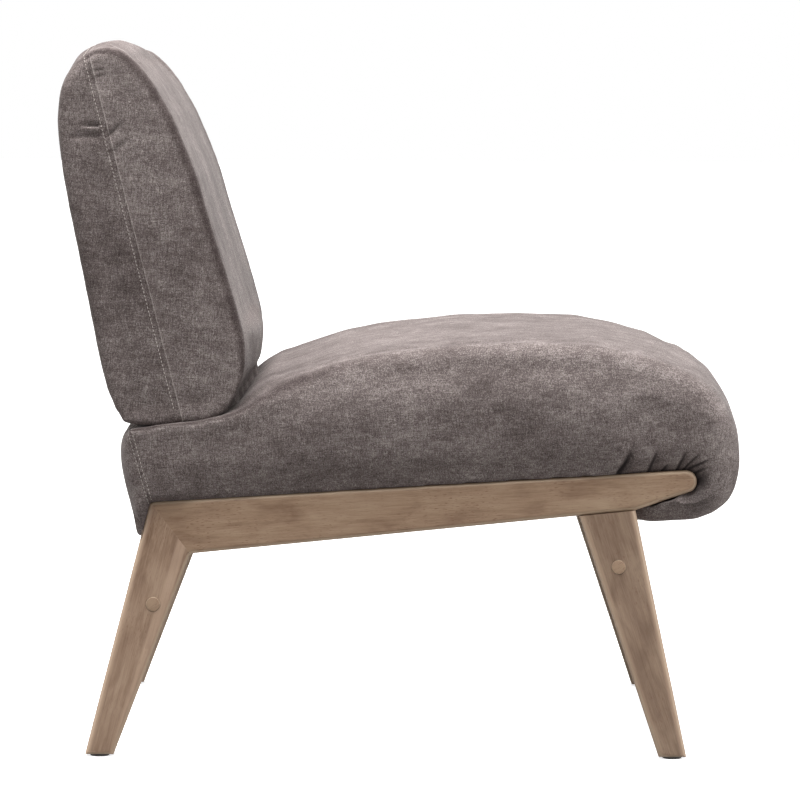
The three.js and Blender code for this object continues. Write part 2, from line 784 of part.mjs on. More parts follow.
// A closed cushion through its stations; grow swells it evenly, or draws it in below zero.
function cushion(outline, stations, grow) {
  const count = outline.length;
  const rings = stations.map(({ crown, rounding }) =>
    outline.map(({ point, normal, roundShare, crownShare }) =>
      shifted(point, normal, grow - crown * crownShare - rounding * roundShare),
    ),
  );
  const positions = rings.flatMap((ring, i) => ring.flatMap(({ x, y }) => [x, stations[i].y, y]));
  const index = [];
  for (let ring = 0; ring < rings.length - 1; ring += 1) {
    for (let i = 0; i < count; i += 1) {
      const a = ring * count + i;
      const b = ring * count + ((i + 1) % count);
      if (2 * ring < rings.length - 1) {
        index.push(a, b + count, b, a, a + count, b + count);
      } else {
        index.push(a, a + count, b, b, a + count, b + count);
      }
    }
  }
  const last = rings.length - 1;
  for (const [a, b, c] of THREE.ShapeUtils.triangulateShape(rings[0], [])) {
    index.push(a, b, c);
  }
  for (const [a, b, c] of THREE.ShapeUtils.triangulateShape(rings[last], [])) {
    index.push(last * count + a, last * count + c, last * count + b);
  }
  const geometry = new THREE.BufferGeometry();
  geometry.setAttribute("position", new THREE.Float32BufferAttribute(positions, 3));
  geometry.setIndex(index);
  return solid(geometry);
}

const seatBody = (grow) =>
  cushion(seatOutline, cushionStations(seatWidth, SEAT_SIDE_ROUND, SEAT_CROWN_DROP, grow), grow);
const backBody = (grow) =>
  cushion(backOutline, cushionStations(backWidth, BACK_SIDE_ROUND, BACK_CROWN_DROP, grow), grow);

// A place of the side frame as the seat's tilted frame has it.
const inSeatFrame = (point) =>
  point.clone().sub(rearCorner).rotateAround(at(0, 0), -RAIL_SLOPE);

// The room that the wooden sides take out of the seat, with a clearance round it. It follows
// the rail's top and nose, the nose's underside back to the front leg, and the outer edges of
// both legs down.
function railNotch(clearance) {
  const reach = seatDepth;
  const centre = inSeatFrame(noseCentre);
  const underside = noseUndersideAngle() - RAIL_SLOPE;
  const legEdge = down(FRONT_LEG_RAKE) - RAIL_SLOPE;
  const besideLeg = along(inSeatFrame(frontLegTop), legEdge + Math.PI / 2, clearance);
  const radius = NOSE_RADIUS + clearance;
  const turn = Math.PI - underside;
  const arc = [];
  for (let i = 0; i <= NOTCH_STEPS; i += 1) {
    arc.push(along(centre, Math.PI / 2 - (turn * i) / NOTCH_STEPS, radius));
  }
  const bend = crossing(arc[NOTCH_STEPS], underside, besideLeg, legEdge);
  const rearLegEdge = down(-REAR_LEG_RAKE) - RAIL_SLOPE;
  const behindLeg = along(at(0, 0), rearLegEdge - Math.PI / 2, clearance);
  const rearBend = crossing(at(0, clearance), 0, behindLeg, rearLegEdge);
  const outline = polygon(
    rearBend,
    along(rearBend, rearLegEdge, reach),
    along(bend, legEdge, reach),
    bend,
    ...arc.reverse(),
  );
  const left = slab(outline, innerFace - clearance, seatWidth);
  return left.add(mirrored(left));
}

// Layers of the seat and back: the cover's outside, its inside, and the foam's outside
const foamInset = FABRIC + FOAM_GAP;
const seatLayer = (inset) => seatBody(-inset).subtract(railNotch(FIT + inset));
const backLayer = (inset) => backBody(-inset).subtract(seatBody(FIT + inset));

// Feet of the leaning planes of the back frame, on the seat's datum
const lean = (thickness) => thickness / Math.cos(BACK_LEAN);
const postFrontFoot = POST_FOOT + lean(POST_THICKNESS);
const rearRailFoot = POST_FOOT - FIT - lean(SEAT_TIMBER);
const panelFoot = POST_FOOT - FIT - lean(PANEL_THICKNESS);
const webbingTop = 0;

// A leaning board between two feet and two heights.
function leaningBoard(rear, front, bottom, top, low, high, grow = 0) {
  const outline = polygon(
    leaning(rear - lean(grow), bottom - grow),
    leaning(front + lean(grow), bottom - grow),
    leaning(front + lean(grow), top + grow),
    leaning(rear - lean(grow), top + grow),
  );
  return slab(outline, low - grow, high + grow);
}

// Posts and rails of the back frame
const postOuter = frameInside - FIT;
const postInner = postOuter - POST_WIDTH;
const railHalf = postInner - FIT;

const backPost = (grow = 0) =>
  leaningBoard(POST_FOOT, postFrontFoot, frameBottom, postTop, postInner, postOuter, grow);

const backRail = (bottom, grow = 0) =>
  leaningBoard(
    POST_FOOT,
    postFrontFoot,
    bottom,
    bottom + BACK_RAIL_HEIGHT,
    -railHalf,
    railHalf,
    grow,
  );

const backPanel = (grow = 0) =>
  leaningBoard(
    panelFoot,
    POST_FOOT - FIT,
    lowerRailBottom,
    postTop,
    -postOuter,
    postOuter,
    grow,
  );

const backUpperRailBottom = postTop - BACK_RAIL_HEIGHT;

// Everything inside the back, with a clearance, as one pocket.
function backPocket() {
  const posts = backPost(FIT);
  return posts
    .add(mirrored(posts))
    .add(backRail(lowerRailBottom, FIT))
    .add(backRail(backUpperRailBottom, FIT))
    .add(backPanel(FIT));
}

const postPair = (grow) => {
  const post = backPost(grow);
  return post.add(mirrored(post));
};

// A bolt between a post and the seat frame, sunk flush into the frame. As a bore, it has a
// clearance and a lead, which is how far it runs out of the frame's face.
function frameBolt(start, direction, grow, lead) {
  const shank = SEAT_TIMBER + FIT + POST_BOLT_BITE;
  const radius = POST_BOLT_HEAD_RADIUS + grow;
  const outside = shifted(start, direction, -lead);
  const head = bar(outside, direction, radius, lead + POST_BOLT_HEAD_HEIGHT + grow);
  return head.add(bar(start, direction, POST_BOLT_RADIUS + grow, shank + grow));
}

const intoPost = corner(Math.cos(BACK_LEAN), 0, Math.sin(BACK_LEAN));
const postBoltHeight = (share) => frameBottom + SEAT_FRAME_HEIGHT * share;
const postMiddle = (postInner + postOuter) / 2;

function rearPostBolt(grow = 0, lead = 0) {
  const place = leaning(rearRailFoot, postBoltHeight(REAR_POST_BOLT_PLACE_SHARE));
  return frameBolt(corner(place.x, postMiddle, place.y), intoPost, grow, lead);
}

function sidePostBolt(grow = 0, lead = 0) {
  const height = postBoltHeight(SIDE_POST_BOLT_PLACE_SHARE);
  const place = leaning((POST_FOOT + postFrontFoot) / 2, height);
  return frameBolt(corner(place.x, frameHalf, place.y), inward, grow, lead);
}

const rearPostBore = rearPostBolt(FIT, OVERRUN);
const sidePostBore = sidePostBolt(FIT, OVERRUN);

const bothSides = (body) => body.add(mirrored(body));

// Seat frame
function seatBolt(place, grow = 0) {
  const seat = corner(place.x, frameInside - FIT, place.y);
  const inHead = shifted(seat, inward, POST_BOLT_HEAD_HEIGHT / 2);
  const length = POST_BOLT_HEAD_HEIGHT / 2 + SEAT_BOLT_LENGTH + grow;
  return bar(seat, inward, POST_BOLT_HEAD_RADIUS, POST_BOLT_HEAD_HEIGHT).add(
    bar(inHead, outward, BOLT_RADIUS + grow, length),
  );
}

const seatBolts = (grow) => seatBoltPlaces.map((place) => seatBolt(place, grow));

function seatRearRail() {
  const board = leaningBoard(
    rearRailFoot,
    POST_FOOT - FIT,
    frameBottom,
    frameTop,
    -frameHalf,
    frameHalf,
  );
  return cut(board, bothSides(rearPostBore));
}

function seatSideRail() {
  const front = seatFrameFront - SEAT_TIMBER - FIT;
  const outline = polygon(
    leaning(POST_FOOT, frameBottom),
    at(front, frameBottom),
    at(front, frameTop),
    leaning(POST_FOOT, frameTop),
  );
  return cut(slab(outline, frameInside, frameHalf), sidePostBore, ...seatBolts(FIT));
}

function seatFrontRail() {
  return block(
    corner(seatFrameFront - SEAT_TIMBER, -frameHalf, frameBottom),
    corner(seatFrameFront, frameHalf, frameTop),
  );
}

// A three-cornered block in the corner of the front rail and a side rail.
function cornerBlock() {
  const front = seatFrameFront - SEAT_TIMBER - FIT;
  const side = frameInside - FIT;
  const shape = polygon(
    at(front - CORNER_BLOCK, side),
    at(front, side - CORNER_BLOCK),
    at(front, side),
  );
  const depth = SEAT_FRAME_HEIGHT;
  const geometry = new THREE.ExtrudeGeometry(shape, { depth, bevelEnabled: false });
  geometry.translate(0, 0, frameBottom);
  return solid(geometry);
}

// Webbing: a strap is a ribbon whose height steps between two levels as it weaves.
const lowStrap = frameTop + FIT;
const highStrap = lowStrap + WEBBING_THICKNESS + FIT;

function strap(start, end, crossings) {
  const path = [at(start, lowStrap)];
  for (const { place, high } of crossings) {
    if (!high) continue;
    const near = WEBBING_WIDTH / 2 + WEBBING_THICKNESS;
    const far = near + WEBBING_RAMP;
    path.push(at(place - far, lowStrap), at(place - near, highStrap));
    path.push(at(place + near, highStrap), at(place + far, lowStrap));
  }
  path.push(at(end, lowStrap));
  const top = path.map((p) => at(p.x, p.y + WEBBING_THICKNESS)).reverse();
  return slab(polygon(...path, ...top), -WEBBING_WIDTH / 2, WEBBING_WIDTH / 2);
}

const spread = (count, low, high) =>
  Array.from({ length: count }, (_, i) => low + ((high - low) * (i + 1)) / (count + 1));

const longPlaces = spread(LONG_STRAP_COUNT, -postInner, postInner);
const crossPlaces = spread(CROSS_STRAP_COUNT, postFrontFoot, seatFrameFront);
const over = (i, j) => (i + j) % 2 === 0;

function webbing() {
  const straps = new THREE.Group();
  const rear = (rearRailFoot + POST_FOOT) / 2;
  const front = seatFrameFront - SEAT_TIMBER / 2;
  longPlaces.forEach((place, i) => {
    const crossings = crossPlaces.map((cross, j) => ({ place: cross, high: over(i, j) }));
    const body = strap(rear, front, crossings).translate([0, place, 0]);
    straps.add(named(`long_webbing_${i + 1}`, tilted(body), "webbing"));
  });
  const side = frameInside + SEAT_TIMBER / 2;
  crossPlaces.forEach((place, j) => {
    const crossings = longPlaces.map((long, i) => ({ place: long, high: !over(i, j) }));
    const body = strap(-side, side, crossings).rotate([0, 0, 90]).translate([place, 0, 0]);
    straps.add(named(`cross_webbing_${j + 1}`, tilted(body), "webbing"));
  });
  return straps;
}

// Sets a body built in the seat's tilted frame into the chair.
function tilted(body) {
  const degrees = THREE.MathUtils.radToDeg(RAIL_SLOPE);
  return body.rotate([0, -degrees, 0]).translate([rearCorner.x, 0, rearCorner.y]);
}

function seatFrame() {
  const frame = new THREE.Group();
  frame.add(named("seat_front_rail", tilted(seatFrontRail()), "softwood"));
  frame.add(named("seat_rear_rail", tilted(seatRearRail()), "softwood"));
  pair(frame, "seat_side_rail", tilted(seatSideRail()), "softwood");
  pair(frame, "seat_corner_block", tilted(cornerBlock()), "softwood");
  const ends = ["rear", "front"];
  seatBolts(0).forEach((bolt, i) => {
    pair(frame, `seat_${ends[i]}_bolt`, tilted(bolt), "steel");
  });
  return frame;
}

function backFrame() {
  const frame = new THREE.Group();
  const post = cut(backPost(), rearPostBore, sidePostBore);
  pair(frame, "back_post", tilted(post), "softwood");
  frame.add(named("back_upper_rail", tilted(backRail(backUpperRailBottom)), "softwood"));
  frame.add(named("back_lower_rail", tilted(backRail(lowerRailBottom)), "softwood"));
  frame.add(named("back_panel", tilted(backPanel()), "plywood"));
  pair(frame, "post_rear_bolt", tilted(rearPostBolt()), "steel");
  pair(frame, "post_side_bolt", tilted(sidePostBolt()), "steel");
  return frame;
}

// The room inside the seat for its frame and webbing, open below behind the front roll.
function seatPocket() {
  const reach = seatDepth;
  const rear = rearRailFoot - FIT;
  const front = seatFrameFront + FIT;
  const outline = polygon(
    leaning(rear, -reach),
    at(seatRollStart + HEM_WIDTH, -reach),
    at(seatRollStart + HEM_WIDTH, frameBottom - FIT),
    at(front, frameBottom - FIT),
    at(front, webbingTop),
    leaning(rear, webbingTop),
  );
  return slab(outline, -frameHalf - FIT, frameHalf + FIT);
}

// Everything behind a seam: a half-space on the rear side of a leaning line.
function behindSeam(foot, seamLean, offset) {
  const reach = seatDepth;
  const place = (up) => at(foot + offset - up * Math.tan(seamLean), up);
  const top = place(reach);
  const bottom = place(-reach);
  const outline = polygon(at(-2 * reach, -reach), bottom, top, at(-2 * reach, reach));
  return slab(outline, -seatWidth, seatWidth);
}

function seatCushion() {
  const group = new THREE.Group();
  const foam = cut(seatLayer(foamInset), seatPocket(), postPair(FIT));
  const hem = frameHalf - HEM_WIDTH;
  const opening = block(
    corner(postFrontFoot + HEM_WIDTH, -hem, -seatDepth),
    corner(seatRollStart - HEM_WIDTH, hem, webbingTop),
  );
  const bolts = seatBolts(FIT).map(bothSides);
  const shell = cut(seatLayer(0), seatLayer(FABRIC), opening, postPair(FIT), ...bolts);
  const behind = (offset) => behindSeam(SEAT_SEAM_FOOT, SEAT_SEAM_LEAN, offset);
  const cover = shell.subtract(behind(SEAM_GAP / 2));
  const rearCover = shell.intersect(behind(-SEAM_GAP / 2));
  const dustTop = -undersideDrop - FIT;
  const dust = block(
    corner(postFrontFoot, -hem - HEM_WIDTH / 2, dustTop - DUST_COVER_THICKNESS),
    corner(seatRollStart - HEM_WIDTH / 2, hem + HEM_WIDTH / 2, dustTop),
  );
  group.add(named("seat_foam", tilted(foam), "foam"));
  group.add(named("seat_cover", tilted(cover), "chenille"));
  group.add(named("seat_cover_rear", tilted(rearCover), "chenille"));
  group.add(named("dust_cover", tilted(dust), "cambric"));
  return group;
}

function backCushion() {
  const group = new THREE.Group();
  const foam = cut(backLayer(foamInset), backPocket());
  const shell = cut(backLayer(0), backLayer(FABRIC), postPair(FIT));
  const behind = (offset) => behindSeam(BACK_SEAM_FOOT, BACK_SEAM_LEAN, offset);
  group.add(named("back_foam", tilted(foam), "foam"));
  group.add(named("back_cover", tilted(shell.subtract(behind(SEAM_GAP / 2))), "chenille"));
  group.add(
    named("back_cover_rear", tilted(shell.intersect(behind(-SEAM_GAP / 2))), "chenille"),
  );
  return group;
}

// The whole chair, with the middle of its box over the origin.
function chair() {
  const group = new THREE.Group();
  group.add(woodenBase(), seatFrame(), webbing(), backFrame(), seatCushion(), backCushion());
  const middle = new THREE.Box3().setFromObject(group).getCenter(corner(0, 0, 0));
  group.position.x = -middle.x;
  return group;
}

export default chair();
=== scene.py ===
"""Slipper chair: the looks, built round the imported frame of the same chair."""

import logging
import math
from dataclasses import dataclass
from enum import Enum
from typing import Callable, Iterable, Optional, Sequence, Union

import bmesh
import bpy
import numpy as np
from mathutils import Euler, Matrix, Vector
from mathutils.bvhtree import BVHTree


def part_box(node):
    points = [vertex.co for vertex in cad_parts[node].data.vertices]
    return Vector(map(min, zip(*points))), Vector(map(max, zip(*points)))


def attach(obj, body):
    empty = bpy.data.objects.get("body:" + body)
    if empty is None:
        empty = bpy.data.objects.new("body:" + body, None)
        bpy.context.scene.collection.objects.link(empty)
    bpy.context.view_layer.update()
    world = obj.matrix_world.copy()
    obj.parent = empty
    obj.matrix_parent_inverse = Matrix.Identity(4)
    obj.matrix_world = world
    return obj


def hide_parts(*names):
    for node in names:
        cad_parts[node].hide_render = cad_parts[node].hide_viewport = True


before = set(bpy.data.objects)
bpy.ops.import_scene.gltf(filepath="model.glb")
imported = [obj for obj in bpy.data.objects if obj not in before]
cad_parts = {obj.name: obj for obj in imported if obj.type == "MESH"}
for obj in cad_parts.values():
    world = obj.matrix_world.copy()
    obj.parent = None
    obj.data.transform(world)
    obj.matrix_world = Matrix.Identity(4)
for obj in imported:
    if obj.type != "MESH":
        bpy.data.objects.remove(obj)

LOG = logging.getLogger("slipper_chair")
BODY = "root"
MERGED = 0.00002
FAR = 1e9
PER_METRE = 1000
Number = Union[float, "Wire"]
Rows = np.ndarray
Colour = tuple[float, float, float, float]
Spot = tuple[float, float]


class Way(Enum):
    """Which side of a fold's way its steep wall stands on."""

    LEFT = 1
    RIGHT = -1


def shade(red: int, green: int, blue: int) -> Colour:
    """A colour as a screen shows it, 0 to 255 a channel, as the linear colour a shader takes."""
    def linear(level: int) -> float:
        share = level / 255
        return share / 12.92 if share <= 0.04045 else ((share + 0.055) / 1.055) ** 2.4
    return linear(red), linear(green), linear(blue), 1.0


@dataclass(frozen=True)
class RailLine:
    """The top line of the side rail in side view, which the seat and back are set out from."""

    rear_x: float = -0.27878
    rear_z: float = 0.2865
    slope: float = math.radians(3.6)

    def point(self, along: float, above: float, across: float = 0.0) -> Vector:
        """The place of a point.

        Args:
            along: distance forward along the rail's top from its rear corner.
            above: distance square to the rail's top, upward.
            across: distance from the chair's middle plane, along Y.

        Returns:
            The point in the chair's frame.
        """
        turn_x, turn_z = math.cos(self.slope), math.sin(self.slope)
        x = self.rear_x + along * turn_x - above * turn_z
        return Vector((x, across, self.rear_z + along * turn_z + above * turn_x))

    def direction(self, along: float, above: float) -> Vector:
        """A direction given along and square to the rail's top, in the chair's frame."""
        return self.point(along, above) - self.point(0.0, 0.0)

    def facing(self, outward: Rows) -> tuple[Rows, Rows]:
        """How far outward directions, in rows, face forward along the rail and up from it."""
        return (outward @ np.array(self.direction(1.0, 0.0)),
                outward @ np.array(self.direction(0.0, 1.0)))

    def measure(self, place: Vector) -> Spot:
        """How far a point lies along and above the rail's top line."""
        along, above = self.side_view(np.array([place]))[0]
        return along, above

    def side_view(self, places: Rows) -> Rows:
        """A table of points, in rows of X, Y and Z, as rows of along and above."""
        x, z = places[:, 0] - self.rear_x, places[:, 2] - self.rear_z
        turn_x, turn_z = math.cos(self.slope), math.sin(self.slope)
        return np.stack((x * turn_x + z * turn_z, z * turn_x - x * turn_z), axis=1)

    def from_side_view(self, flat: Rows, across: Rows) -> Rows:
        """Points of a side view, with their distances across, as rows of X, Y and Z."""
        turn_x, turn_z = math.cos(self.slope), math.sin(self.slope)
        x = self.rear_x + flat[:, 0] * turn_x - flat[:, 1] * turn_z
        z = self.rear_z + flat[:, 0] * turn_z + flat[:, 1] * turn_x
        return np.stack((x, across, z), axis=1)


RAIL = RailLine()


# Shaders


def arithmetic(operation: str, swapped: bool = False) -> Callable:
    """A method of a wire that adds one Math node.

    Args:
        operation: the Math node's operation.
        swapped: whether the wire is the second of its two values.

    Returns:
        The method.
    """
    def method(self: "Wire", other: Number) -> "Wire":
        """The operation done on the wire and the other value."""
        return self.shader.sum(operation, *((other, self) if swapped else (self, other)))
    return method


class Wire:
    """A shader socket that ordinary arithmetic can be done on."""

    def __init__(self, shader: "Shader", socket: bpy.types.NodeSocket) -> None:
        """Keeps the socket and the shader that its next nodes go into."""
        self.shader, self.socket = shader, socket

    __add__, __radd__ = arithmetic("ADD"), arithmetic("ADD", swapped=True)
    __sub__, __rsub__ = arithmetic("SUBTRACT"), arithmetic("SUBTRACT", swapped=True)
    __mul__, __rmul__ = arithmetic("MULTIPLY"), arithmetic("MULTIPLY", swapped=True)
    __truediv__ = arithmetic("DIVIDE")


class Shader:
    """The node tree of a material or a world, and the only place where nodes are made."""

    def __init__(self, owner: Union[bpy.types.Material, bpy.types.World]) -> None:
        """Starts an empty tree for that material or world."""
        self.owner = owner
        owner.use_nodes = True
        self.tree = owner.node_tree
        self.tree.nodes.clear()

    @classmethod
    def named(cls, name: str) -> "Shader":
        """The shader of a new material of that name."""
        return cls(bpy.data.materials.new(name))

    def node(self, kind: str, settings: Optional[dict] = None,
             sockets: Optional[dict] = None) -> bpy.types.Node:
        """Makes one node.

        Args:
            kind: the node's type, without its ShaderNode prefix.
            settings: the node's own properties; "stops" holds a colour ramp's places and colours.
            sockets: values or wires for its inputs, by name or by index.

        Returns:
            The node.
        """
        made = self.tree.nodes.new("ShaderNode" + kind)
        for name, value in (settings or {}).items():
            if name == "stops":
                ramp = made.color_ramp.elements
                while len(ramp) < len(value):
                    ramp.new(0.5)
                for element, (place, colour) in zip(ramp, value):
                    element.position, element.color = place, colour
            else:
                setattr(made, name, value)
        for name, value in (sockets or {}).items():
            if isinstance(value, Wire):
                self.tree.links.new(value.socket, made.inputs[name])
            else:
                made.inputs[name].default_value = value
        return made

    def wire(self, made: bpy.types.Node, output: Union[int, str] = 0) -> Wire:
        """One of a node's outputs as a wire."""
        return Wire(self, made.outputs[output])

    def sum(self, operation: str, first: Number, second: Number = 0.0) -> Wire:
        """A Math node on two numbers or wires."""
        return self.wire(self.node("Math", {"operation": operation}, {0: first, 1: second}))

    def largest(self, *wires: Wire) -> Wire:
        """The largest of some wires."""
        found = wires[0]
        for wire in wires[1:]:
            found = self.sum("MAXIMUM", found, wire)
        return found

    def seen(self) -> Wire:
        """1 where the camera, a reflection or a look through glass meets the surface."""
        path = self.node("LightPath")
        rays = ("Is Camera Ray", "Is Glossy Ray", "Is Transmission Ray")
        return self.largest(*(self.wire(path, ray) for ray in rays))

    def place(self, turn: Sequence[float] = (0, 0, 0), scale: Sequence[float] = (1, 1, 1),
              start: Optional[Wire] = None) -> Wire:
        """Object coordinates, turned and then stretched.

        Args:
            turn: angles about X, Y and Z that lay the pattern along the piece.
            scale: how often the pattern comes along each turned axis, in turns a metre.
            start: coordinates already turned, used instead of the object's own.

        Returns:
            The coordinates as a wire.
        """
        source = start or self.wire(self.node("TexCoord"), "Object")
        sockets = {"Vector": source, "Rotation": tuple(turn), "Scale": tuple(scale)}
        return self.wire(self.node("Mapping", {"vector_type": "POINT"}, sockets))

    def spread(self, value: Wire, low: float, high: float) -> Wire:
        """value stretched so that low becomes 0 and high becomes 1, and held between them."""
        settings = {"clamp": True, "interpolation_type": "SMOOTHSTEP"}
        sockets = {"Value": value, "From Min": low, "From Max": high}
        return self.wire(self.node("MapRange", settings, sockets))

    def blend(self, share: Number, first: Union[Colour, Wire], second: Union[Colour, Wire]) -> Wire:
        """Two colours mixed by a share of 0 to 1 of the second."""
        sockets = {0: share, 6: first, 7: second}
        return self.wire(self.node("Mix", {"data_type": "RGBA", "blend_type": "MIX"}, sockets), 2)

    def ramp(self, value: Wire, stops: Sequence[tuple[float, Colour]]) -> Wire:
        """A colour that runs through the stops as value goes from 0 to 1."""
        return self.wire(self.node("ValToRGB", {"stops": stops}, {"Fac": value}))

    def bump(self, height: Wire, distance: float, strength: float = 1.0) -> Wire:
        """A normal from a height of 0 to 1 over that distance in metres."""
        sockets = {"Height": height, "Distance": distance, "Strength": strength}
        return self.wire(self.node("Bump", None, sockets))

    def finish(self, sockets: dict) -> bpy.types.Material:
        """Ends the tree in a Principled surface with those sockets."""
        surface = self.node("BsdfPrincipled", None, sockets)
        self.node("OutputMaterial", None, {"Surface": self.wire(surface)})
        return self.owner


# Finishes


@dataclass(frozen=True)
class Layer:
    """A layer of smooth noise in a finish."""

    scale: Union[float, tuple[float, float, float]]
    detail: float = 2.0
    rough: float = 0.5
    warp: float = 0.0
    share: float = 1.0

    def on(self, shader: Shader, place: Wire) -> Wire:
        """The layer at a place as a wire of about 0 to 1, with scale's features a metre."""
        scale = self.scale
        if not isinstance(scale, float):
            place, scale = shader.place(scale=scale, start=place), 1.0
        sockets = {"Vector": place, "Scale": scale, "Detail": self.detail, "Roughness": self.rough,
                   "Distortion": self.warp}
        return shader.wire(shader.node("TexNoise", {"noise_dimensions": "3D"}, sockets))


@dataclass(frozen=True)
class Cells(Layer):
    """A layer of small cells in a finish."""

    def on(self, shader: Shader, place: Wire) -> Wire:
        """How far a place lies from the edge of its cell, as a wire."""
        sockets = {"Vector": place, "Scale": self.scale}
        made = shader.node("TexVoronoi", {"feature": "DISTANCE_TO_EDGE"}, sockets)
        return shader.wire(made, "Distance")


def tone_of(layers: Iterable[Layer], wires: Iterable[Wire]) -> Wire:
    """A tone about 0.5 that each layer changes by its share."""
    return sum(((wire - 0.5) * layer.share for layer, wire in zip(layers, wires)), 0.5)


@dataclass(frozen=True)
class Chenille:
    """The grey-brown chenille of the seat and back: a soft crushed pile over a crossed weave."""

    name: str
    lean: float = 0.0
    dark: Colour = shade(57, 49, 48)
    middle: Colour = shade(100, 91, 89)
    light: Colour = shade(162, 153, 150)
    # The dark colour that painted shade in the cloth's creases mixes in.
    painted_shade_colour: Colour = shade(34, 29, 29)
    tint: Colour = shade(250, 249, 247)
    cloud: Layer = Layer(8.0, share=0.40)
    crush: Layer = Layer((34.0, 34.0, 52.0), warp=0.4, share=0.38)
    brushed: Layer = Layer((75.0, 75.0, 210.0), rough=0.55, share=0.30)
    speckle: Layer = Layer(1150.0, rough=0.6, share=1.3)
    yarns: tuple[Layer, ...] = (
        Layer((130.0, 800.0, 800.0), rough=0.6),
        Layer((800.0, 130.0, 800.0), rough=0.6),
        Layer((800.0, 800.0, 130.0), rough=0.6, share=1.2),
    )
    yarn_share: float = 1.6
    # How far the cloth's painted light and painted shade shift the tone.
    painted_light_share: float = 0.2
    sheen: float = 0.10
    sheen_spread: float = 0.32
    yarn_height: float = 0.6
    pile_height: float = 0.5
    relief: float = 0.0008

    def material(self) -> bpy.types.Material:
        """The chenille as a material, with its weave turned by the lean about Y."""
        shader = Shader.named(self.name)
        place = shader.place(turn=(0.0, self.lean, 0.0))
        layers = (self.cloud, self.crush, self.brushed, self.speckle)
        _, _, brushed, speckle = wires = [layer.on(shader, place) for layer in layers]
        weight = sum(yarn.share for yarn in self.yarns)
        streaks = sum(yarn.on(shader, place) * yarn.share for yarn in self.yarns) / weight
        # Painted light and shade from the cushion: one attribute shifts the tone, the other mixes
        # in the dark colour.
        nap, shadow = (shader.wire(shader.node("Attribute", {"attribute_name": name}), "Fac")
                       for name in ("nap", "shadow"))
        tone = tone_of(layers, wires) + (streaks - 0.5) * self.yarn_share + nap * self.painted_light_share
        stops = ((0.08, self.dark), (0.5, self.middle), (0.95, self.light))
        height = (streaks * self.yarn_height + speckle * self.yarn_height
                  + brushed * self.pile_height)
        return shader.finish({
            "Base Color": shader.blend(shadow, shader.ramp(tone, stops), self.painted_shade_colour),
            "Roughness": 0.92,
            "Specular IOR Level": 0.12,
            "Sheen Weight": self.sheen,
            "Sheen Roughness": self.sheen_spread,
            "Sheen Tint": self.tint,
            "Normal": shader.bump(height, self.relief, 0.5),
        })


def rising(wire: Wire, least: float, more: float) -> Wire:
    """A value that starts at least and grows by more as the wire goes from 0 to 1."""
    return least + more * wire


